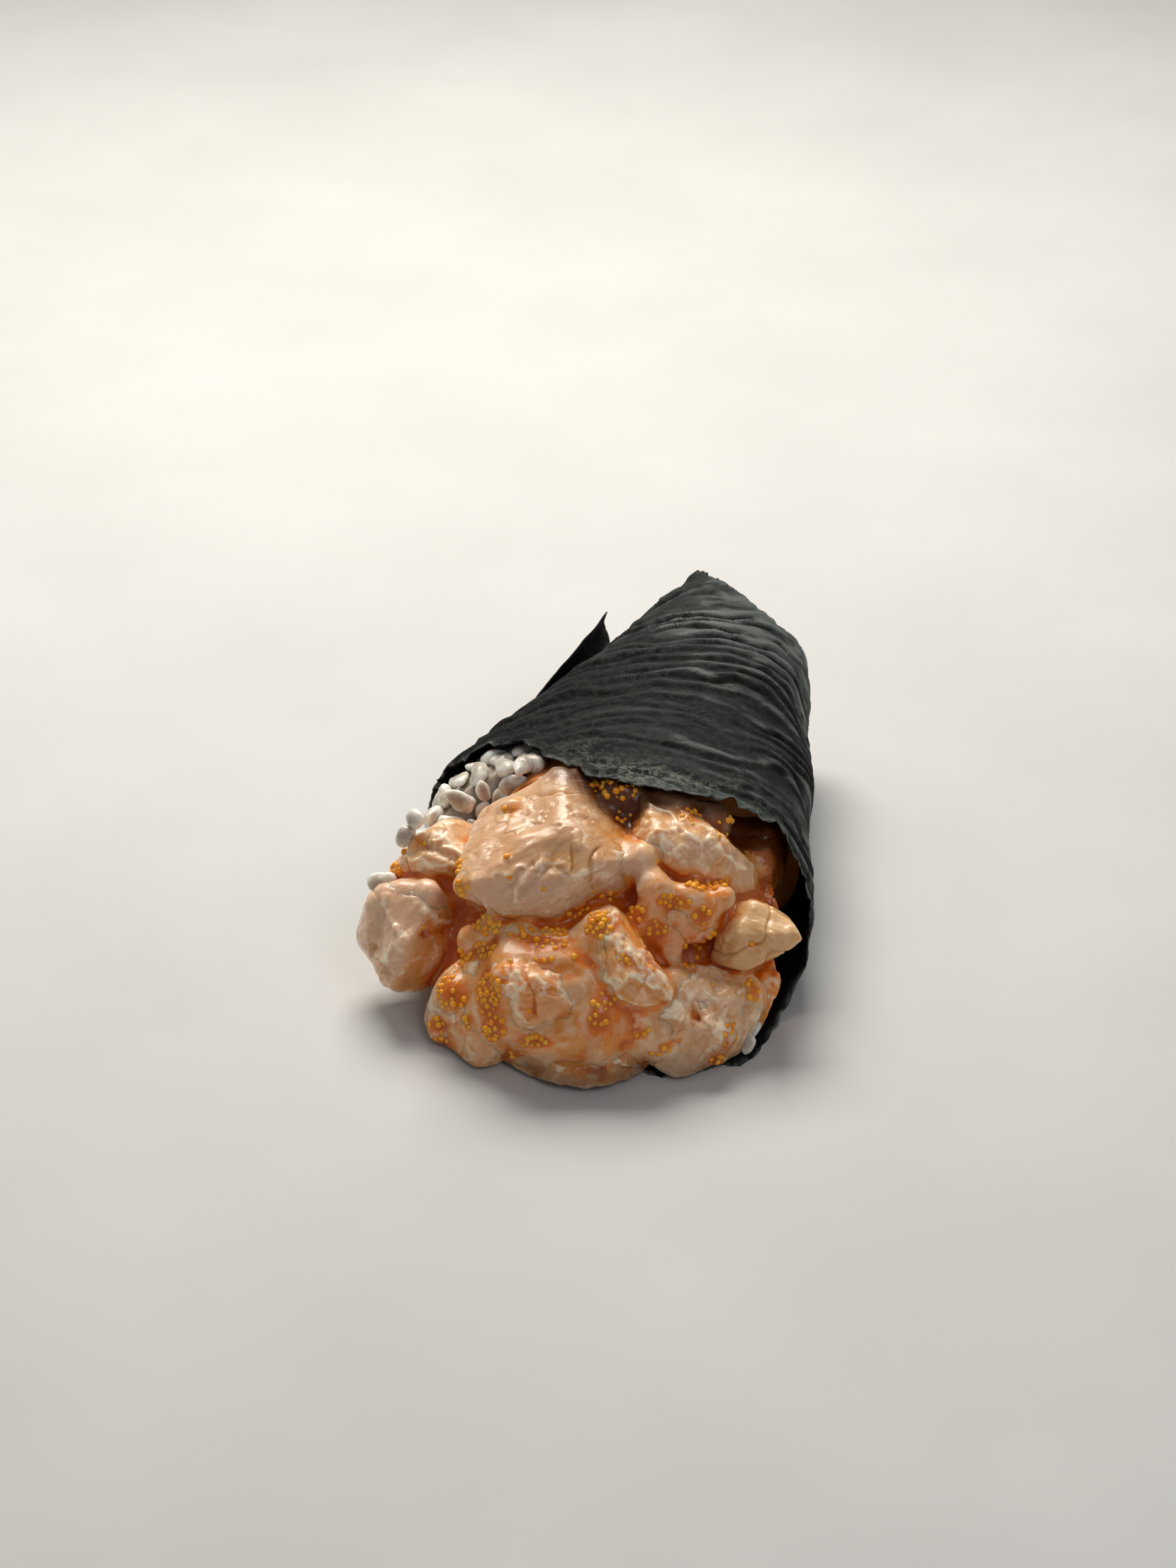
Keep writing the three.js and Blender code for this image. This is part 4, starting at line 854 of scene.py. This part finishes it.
# Raw scallop under a thin mayonnaise dressing: see-through flesh with long fibres, ivory where it stands
# proud and ochre to deep orange in the hollows, partly the dressing pooled there and partly painted shade
# and painted glow, wet, with torn creamy films where the dressing clings, and painted shade mixed in where
# it lies in the dark.
def dressed_scallop():
    m = empty_material("dressed_scallop")
    where = node(m, "TexCoord").outputs["Object"]
    grain = node(m, "Attribute", attribute_name="grain").outputs["Vector"]
    flesh = node(m, "Attribute", attribute_name="flesh")
    split = node(m, "SeparateColor", {"Color": flesh})
    coat = node(m, "SeparateColor", {"Color": node(m, "Attribute", attribute_name="coat")})
    long_ways = node(m, "Mapping", {"Vector": grain, "Scale": (0.7, 0.7, 0.1)})
    fibres = node(m, "TexNoise", {"Vector": long_ways, "Scale": 1.0, "Detail": 5.0, "Roughness": 0.62,
            "Distortion": 0.6})
    clouds = node(m, "TexNoise", {"Vector": where, "Scale": 130.0, "Detail": 3.0})
    torn = node(m, "TexNoise", {"Vector": where, "Scale": 290.0, "Detail": 6.0, "Roughness": 0.68,
            "Distortion": 1.2})
    # flesh: ivory to burnt orange with depth, partly pooled dressing and partly painted shade and glow,
    # streaked along the fibres
    uneven = node(m, "Math", {0: clouds, 1: 0.25, 2: split.outputs["Red"]}, operation="MULTIPLY_ADD")
    soaked_and_shaded = node(m, "ValToRGB", {"Fac": uneven}, stops=[(0.1, "#dfb598"), (0.3, "#dfa56c"),
            (0.5, "#e49234"), (0.75, "#ee8207"), (1.0, "#d46400")])
    streaks = node(m, "MapRange", {"Value": fibres, "From Min": 0.48, "From Max": 0.72, "To Min": 0.0,
            "To Max": 0.4})
    shallow = node(m, "Math", {0: 1.0, 1: split.outputs["Red"]}, operation="SUBTRACT")
    streak_part = node(m, "Math", {0: streaks, 1: shallow}, operation="MULTIPLY")
    light = node(m, "Mix", {"Factor": streak_part, "A": soaked_and_shaded, "B": "#ecccb0"}, data_type="RGBA")
    golden = node(m, "Mix", {"Factor": flesh.outputs["Alpha"], "A": light, "B": "#ddb47c"},
            data_type="RGBA")
    # the film of dressing: torn patches of cream, denser where it clings
    film = node(m, "Math", {0: torn, 1: coat.outputs["Red"]})
    film_part = node(m, "MapRange", {"Value": film, "From Min": 0.6, "From Max": 1.15, "To Min": 0.0,
            "To Max": 0.7})
    milky = node(m, "Mix", {"Factor": film_part, "A": golden, "B": "#f0d2b0"}, data_type="RGBA")
    # pale seams along ridges, and fine threads
    threads = node(m, "TexNoise", {"Vector": long_ways, "Scale": 2.3, "Detail": 3.0, "Distortion": 1.0})
    thread_lines = node(m, "ValToRGB", {"Fac": threads}, stops=[(0.49, (0, 0, 0, 1)),
            (0.515, (0.35, 0.35, 0.35, 1)), (0.54, (0, 0, 0, 1))])
    seam = node(m, "Math", {0: torn, 1: 0.5}, operation="SUBTRACT")
    seam_more = node(m, "Math", {0: seam, 1: 3.2, 2: split.outputs["Green"]}, operation="MULTIPLY_ADD")
    seam_part = node(m, "MapRange", {"Value": seam_more, "From Min": 0.4, "From Max": 1.0, "To Min": 0.0,
            "To Max": 0.85})
    thread_part = node(m, "Math", {0: thread_lines, 1: shallow}, operation="MULTIPLY")
    lines = node(m, "Math", {0: thread_part, 1: seam_part}, operation="MAXIMUM")
    creamy = node(m, "Mix", {"Factor": lines, "A": milky, "B": "#fbe8cc"}, data_type="RGBA")
    # painted shade: dark brown mixed in where the attribute's green says the place lies in shade
    shaded = node(m, "Mix", {"Factor": coat.outputs["Green"], "A": creamy, "B": "#4a2008"},
            data_type="RGBA")
    rough = node(m, "MapRange", {"Value": torn, "From Min": 0.35, "From Max": 0.65, "To Min": 0.2,
            "To Max": 0.42})
    low = node(m, "Bump", {"Height": fibres, "Strength": 0.3, "Distance": 0.0006})
    fine = node(m, "Bump", {"Height": torn, "Strength": 0.2, "Distance": 0.0008, "Normal": low})
    face = node(m, "BsdfPrincipled", {"Base Color": shaded, "Roughness": rough, "Normal": fine, "IOR": 1.38,
            "Subsurface Weight": 0.9, "Subsurface Radius": (1.0, 0.75, 0.5),
            "Subsurface Scale": 0.0018, "Coat Weight": 0.3, "Coat Roughness": 0.14})
    node(m, "OutputMaterial", {"Surface": face})
    return m


def fibre_place(piece, local, number):
    """Coordinates across, through and along a piece's fibres."""
    fibre = unit(np.array(piece["fibre"], float))
    side = unit(np.cross(fibre, [0.2, 0.3, 0.9]))
    return np.stack([local @ side, local @ np.cross(fibre, side), local @ fibre], axis=1) + 31.0 * number


def curds(q, milk):
    """How thickly dressing clings at places on the face: 0 bare, 1 a full curd."""
    height = lumps(q, 3.6, 150) + 0.6 * lumps(q, 1.7, 151) + 0.3 * lumps(q, 0.9, 152)
    return eased(height + 1.35 * milk - 0.8, -0.2, 0.3)


def near_roe(q):
    """How near each place is to a clump of roe, and how near to the creamy rim round one."""
    glow = np.zeros(len(q))
    rim = np.zeros(len(q))
    for clump in CLUMPS:
        off = clump_distance(q[:, :2], clump)
        glow = np.maximum(glow, clump[5] * np.exp(-(off / 1.15) ** 2))
        rim = np.maximum(rim, clump[5] * np.exp(-((off - 1.35) / 0.3) ** 2))
    return glow, rim * (1 - glow)


def tones(q, ridge, dark, milk, gold, warm):
    """The attributes of the flesh: how deep and orange, partly pooled dressing and partly painted shade and
    glow, how near a ridge, how milky and how golden it is; and of its film and shade: how much film clings
    to it, and how much painted shade it takes, by how deep in the dark it lies."""
    glow, rim = near_roe(q)
    egg = look_up(from_egg, q)
    halo = np.exp(-((egg - 1.15) / 0.3) ** 2)
    places = on_face(q)
    pushed = xyz(0, 6 * eased(-q[:, 2], 2, 9) * (places[:, 2] > 30), 0)    # deep places take the painted shade under the sheet sooner
    under = under_sheet(places + pushed, -5, 5)[0]
    room = look_up(crowded, q)
    hollow_shade = np.zeros(len(q))
    for across, up, wide, amount in HOLLOWS:
        hollow_shade = np.maximum(hollow_shade, amount * np.exp(-(np.hypot(q[:, 0] - across, q[:, 1] - up) / wide) ** 2))
    hollow_shade = hollow_shade * eased(room, 0.44, 0.62)
    # deep: orange in crowded hollows, partly pooled dressing and partly painted shade and glow
    deep = 1.1 * eased(room, 0.5, 0.78) + warm + dark + hollow_shade
    deep = deep + 0.45 * glow + 0.3 * np.exp(-(egg / 1.6) ** 2)
    flesh = np.stack([np.clip(deep, 0, 1), ridge, milk + 0 * deep, gold * (1 - 0.7 * np.clip(deep, 0, 1))],
                     axis=1)
    film = 0.14 * milk + 0.3 * curds(q, milk + 0.2 * rim) + 0.12 * rim + 0.3 * halo
    film = film * (1 - 0.85 * eased(deep, 0.4, 0.85)) - 0.15 * glow
    # painted shade: low at the front by the table, under the seaweed, on shaded facets and in the hollows
    low = eased(-places[:, 2], -9, -1) * eased(-places[:, 1], 62, 70)
    shadow = np.clip(0.45 * low + 0.85 * under + 0.9 * np.maximum(dark - 0.2, 0) + 0.5 * hollow_shade, 0, 0.9)
    coat = np.stack([np.clip(film, 0, 1), shadow, 0 * deep, 1 + 0 * deep], axis=1)
    return flesh, coat


def scallop_piece(piece, material, number):
    ball = bmesh.new()
    bmesh.ops.create_icosphere(ball, subdivisions=7 if piece["name"] == "scallop_top" else 6, radius=1.0)
    way = np.array([v.co for v in ball.verts], float)
    faces = np.array([[v.index for v in f.verts] for f in ball.faces])
    ball.free()
    corners = np.array(piece["corners"], float)
    size = np.array([*np.abs(corners - corners.mean(axis=0)).max(axis=0), piece["back"]])
    way = unit(unit(way + [0, 0, 0.35]) * size)            # closer points on the side that shows
    far, ridge, dark = reach(piece, way)
    local = way * far[:, None]
    grain = fibre_place(piece, local, number)
    slow = 0.4 * lumps(local, 6.0, 20 + number) + 0.16 * lumps(local, 2.9, 40 + number)
    ropes = 0.2 * lumps(grain * [1, 1, 0.16], 1.9, 60 + number)
    ropes = ropes + 0.09 * lumps(grain * [1, 1, 0.2], 0.9, 80 + number)
    crease = np.exp(-(lumps(local * [1, 1, 0.6], 5.5, 100 + number) / 0.07) ** 2)    # thin folds of skin
    crease *= eased(lumps(local, 8.0, 120 + number), -0.2, 0.4)
    wobble = np.stack([lumps(local, 2.2, 130), lumps(local, 2.2, 131)], axis=1)
    places = local[:, :2] + piece["middle"][:2] + 1.3 * wobble
    seam = np.zeros(len(local))
    for line in piece.get("seams", []):
        seam = np.maximum(seam, 0.8 * np.exp(-(off_line(places, line) / 0.8) ** 2) * (way[:, 2] > 0))
    curd = curds(local + piece["middle"], piece["milk"])
    fine = lumps(local, 0.95, 140 + number)
    local += way * (slow + ropes - 0.4 * crease + 0.55 * seam + 0.3 * curd + 0.12 * curd * fine)[:, None]
    q = local + piece["middle"]
    edges = 0.55 * eased(ridge, 0.2, 0.5) * (0.5 + piece["milk"])
    # creases take painted shade
    flesh, coat = tones(q, np.maximum(edges, seam), dark + 0.25 * crease, piece["milk"], piece["gold"],
                        piece["warm"])
    points = within_sheet(on_face(q), GAP)
    return make_object(piece["name"] + "_cut", points, faces, material, flesh=flesh, coat=coat, grain=grain)


scallop_flesh = dressed_scallop()
for number, piece in enumerate(PIECES):
    cut = scallop_piece(piece, scallop_flesh, number)
    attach(cut, "root")
    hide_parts(piece["name"])


# ---- Dressing and chopped filling ---------------------------------------------------------------
# Chopped scallop bound with chilli mayonnaise and roe. It fills the roll to the tail, and in the heap
# it shows only as an orange fillet in the hollows between the pieces, its orange deepened by painted shade.

CORE_TAIL, CORE_FRONT = 53, -20           # the ends of the filling inside the cone, along Y


def net_round(field):
    """A closed quad mesh round the part of the grid that is below zero."""
    inside = field < 0
    size = np.array(field.shape) - 1
    steps = [np.array([k & 1, k >> 1 & 1, k >> 2 & 1]) for k in range(8)]
    shifted = lambda s: tuple(slice(s[i], size[i] + s[i]) for i in range(3))
    count = sum(inside[shifted(s)].astype(np.int8) for s in steps)
    cells = np.argwhere((count > 0) & (count < 8))
    number = np.full(size, -1)
    number[tuple(cells.T)] = np.arange(len(cells))
    total = np.zeros((len(cells), 3))
    hits = np.zeros(len(cells))
    value = {tuple(s): field[tuple((cells + s).T)] for s in steps}
    for s in steps:
        for axis in range(3):
            if s[axis]:
                continue
            e = s.copy()
            e[axis] = 1
            a, b = value[tuple(s)], value[tuple(e)]
            cross = (a < 0) != (b < 0)
            t = np.where(cross, a / np.where(cross, a - b, 1), 0)
            total += cross[:, None] * (s + t[:, None] * (e - s))
            hits += cross
    points = LOW + STEP * (cells + total / hits[:, None])
    quads = []
    for axis in range(3):
        b, c = (axis + 1) % 3, (axis + 2) % 3
        near = tuple(slice(0, -1) if i == axis else slice(None) for i in range(3))
        far = tuple(slice(1, None) if i == axis else slice(None) for i in range(3))
        at = np.argwhere(inside[near] != inside[far])
        at = at[(at[:, b] > 0) & (at[:, c] > 0) & (at[:, b] < size[b]) & (at[:, c] < size[c])]
        ring = []
        for db, dc in ((0, 0), (1, 0), (1, 1), (0, 1)):
            cell = at.copy()
            cell[:, b] -= db
            cell[:, c] -= dc
            ring.append(number[tuple(cell.T)])
        quad = np.stack(ring, axis=1)
        inward = ~inside[tuple(at.T)]
        quad[inward] = quad[inward][:, ::-1]
        quads.append(quad)
    return points, np.concatenate(quads)


def cone_core():
    """The filling inside the cone, from the heap to the tail end."""
    rounds = 96
    rows = []
    y_rows = np.concatenate([[CORE_TAIL] * 3, np.linspace(CORE_TAIL, CORE_FRONT, 40)])
    pinch = np.concatenate([[0.05, 0.45, 0.8], np.ones(40)])
    turn = np.arange(rounds) * 360 / rounds
    angle = np.where(turn > RICE["to"] + 20, turn - 360, turn)
    in_rice = (angle > RICE["from"] - 6) & (angle < RICE["to"] + 6)
    depth = np.where(in_rice, rice_thick(angle) * 1.12 + GAP, 0)
    for y, share in zip(y_rows, pinch):
        floor = SHEET + GAP + SLACK + 0.75 * depth
        ring = skin(angle, np.full(rounds, y), -(SHEET / 2 + GAP + 2 * SLACK + depth), floor)
        middle = ring.mean(axis=0)
        ring = middle + (ring - middle) * share
        ring[:, 1] += (1.5 - 1.2 * share) * (1 + 0.8 * lumps(ring, 4.0, 71)) if share < 1 else 0
        rows.append(ring)
    rows = np.array(rows)
    shift = lumps(rows, 3.0, 70)
    middle = rows.mean(axis=1, keepdims=True)
    rows[3:, :, 0] += -0.3 * (1 + shift[3:]) * np.sign(rows[3:, :, 0] - middle[3:, :, 0])
    at = np.arange(rows.shape[0] * rounds).reshape(-1, rounds)
    after = np.roll(at, -1, axis=1)
    quads = np.stack([at[:-1], at[1:], after[1:], after[:-1]], axis=-1).reshape(-1, 4)
    points = rows.reshape(-1, 3)
    hubs = np.array([rows[0].mean(axis=0), rows[-1].mean(axis=0)])
    first = np.stack([np.full(rounds, len(points)), at[0], after[0]], axis=-1)
    last = np.stack([np.full(rounds, len(points) + 1), after[-1], at[-1]], axis=-1)
    return np.concatenate([points, hubs]), [*quads.tolist(), *first.tolist(), *last.tolist()]


def filling():
    height = FACE["z"] + everywhere[..., 1] * LEAN_COS + everywhere[..., 2] * LEAN_SIN
    heap, quads = net_round(np.maximum(dressing_skin, SHEET + GAP - height))
    cell = np.clip(((heap - LOW) / STEP).round().astype(int), 0, np.array(owner.shape) - 1)
    whose = owner[tuple(cell.T)]
    milk, gold, warm = np.array([[piece[k] for k in ("milk", "gold", "warm")] for piece in PIECES]
                                + [[0.3, 0.1, 0.3]])[whose].T
    grain = heap * 0.8
    dark = 0 * milk
    for number, piece in enumerate(PIECES):
        local = heap[whose == number] - piece["middle"]
        grain[whose == number] = fibre_place(piece, local, number)
        dark[whose == number] = reach(piece, local / np.linalg.norm(local, axis=1, keepdims=True))[2]
    flesh, coat = tones(heap, 0 * dark, 0.7 * dark, np.maximum(milk, 0.5), 0.5 * gold, 0.9 * warm)
    core, core_faces = cone_core()
    # the filling inside the cone: orange, with painted shade in the attribute's green
    inside = np.array([[0.6, 0, 0.3, 0.1]] * len(core), float)
    bare = np.array([[0.1, 0.35, 0, 1]] * len(core), float)
    points = np.concatenate([within_sheet(on_face(heap), GAP + 0.4), core])
    faces = quads.tolist() + [[i + len(heap) for i in f] for f in core_faces]
    return make_object("dressing", points, faces, scallop_flesh, flesh=np.concatenate([flesh, inside]),
                       coat=np.concatenate([coat, bare]), grain=np.concatenate([grain, core]))


dressing = filling()
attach(dressing, "root")
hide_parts("dressed_filling")


# ---- Roe ----------------------------------------------------------------------------------------
# Salted flying fish roe: firm see-through beads of about 1.5 mm, mixed into the dressing, so they lie in
# clusters along the hollows, half sunk, with a few strays on the pieces.

# Flying fish roe: a bead of clear orange liquid in a tough skin, bright where light passes through.
def fish_roe():
    m = empty_material("fish_roe")
    where = node(m, "TexCoord").outputs["Object"]
    each = node(m, "TexNoise", {"Vector": where, "Scale": 330.0, "Detail": 1.0})
    tint = node(m, "ValToRGB", {"Fac": each}, stops=[(0.3, "#ff9012"), (0.5, "#ffa826"), (0.7, "#ffb640")])
    face = node(m, "BsdfPrincipled", {"Base Color": tint, "Roughness": 0.34, "IOR": 1.36,
            "Subsurface Weight": 0.4, "Subsurface Radius": (1.0, 0.6, 0.2),
            "Subsurface Scale": 0.0008, "Coat Weight": 0.05, "Coat Roughness": 0.2})
    node(m, "OutputMaterial", {"Surface": face})
    return m


def roe():
    chance = np.random.default_rng(42)
    ball, triangles = unit_ball(8, 12)
    points, faces = [], []
    for place in EGGS:
        faces.append(triangles + len(ball) * len(points))
        points.append(place + ball * (EGG / 2) * chance.uniform(0.86, 1.12) * chance.uniform(0.94, 1.06, 3))
    return make_object("roe_eggs", np.concatenate(points), np.concatenate(faces), fish_roe())


eggs = roe()
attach(eggs, "root")
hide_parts("dressed_filling")


# ---- Table, light and camera --------------------------------------------------------------------
# A pale matt table top under a broad soft light from above and behind, as by a window, with a weak fill
# from the front, seen from in front and above.

def pale_table():
    m = empty_material("pale_table")
    where = node(m, "TexCoord").outputs["Object"]
    mist = node(m, "TexNoise", {"Vector": where, "Scale": 14.0, "Detail": 3.0})
    tint = node(m, "ValToRGB", {"Fac": mist}, stops=[(0.3, "#c3c2bf"), (0.7, "#cac9c6")])
    face = node(m, "BsdfPrincipled", {"Base Color": tint, "Roughness": 0.7})
    node(m, "OutputMaterial", {"Surface": face})
    return m


HALF = 2.5                                # metres from the middle of the table to its edges
table_mesh = bpy.data.meshes.new("table")
table_corners = [(x * HALF, y * HALF, 0) for x, y in ((-1, -1), (1, -1), (1, 1), (-1, 1))]
table_mesh.from_pydata(table_corners, [], [(0, 1, 2, 3)])
table_mesh.materials.append(pale_table())
table = bpy.data.objects.new("table", table_mesh)
bpy.context.scene.collection.objects.link(table)

world = bpy.data.worlds.new("studio")
world.use_nodes = True
world.node_tree.nodes["Background"].inputs["Color"].default_value = linear("#eef0f2")
world.node_tree.nodes["Background"].inputs["Strength"].default_value = 0.24
bpy.context.scene.world = world


def soft_light(name, place, aim, size, power, colour):
    lamp = bpy.data.lights.new(name, "AREA")
    lamp.shape = "RECTANGLE"
    lamp.size, lamp.size_y = size
    lamp.energy = power
    lamp.color = linear(colour)[:3]
    made = bpy.data.objects.new(name, lamp)
    made.location = place
    made.rotation_euler = (Vector(aim) - Vector(place)).to_track_quat("-Z", "Y").to_euler()
    bpy.context.scene.collection.objects.link(made)


soft_light("window", (-0.08, 0.42, 0.6), (0, 0, 0.02), (0.46, 0.34), 7.0, "#fffaf2")
soft_light("fill", (0.3, -0.6, 0.7), (0, 0, 0.02), (0.3, 0.3), 1.2, "#f4f6ff")

# the eye is 623 mm in front and 412 mm up, looking 31.7 degrees down
DOWN = 31.7
camera = bpy.data.cameras.new("camera")
camera.sensor_width = 36
camera.lens = 36 * 4818 / 2212
camera.clip_start = 0.05
viewer = bpy.data.objects.new("camera", camera)
viewer.location = (np.array([-7.7, -623.0, 412.5]) - STAND) * MM
viewer.rotation_euler = (math.radians(90 - DOWN), 0, 0)
bpy.context.scene.collection.objects.link(viewer)
bpy.context.scene.camera = viewer
bpy.context.scene.view_settings.view_transform = "Standard"
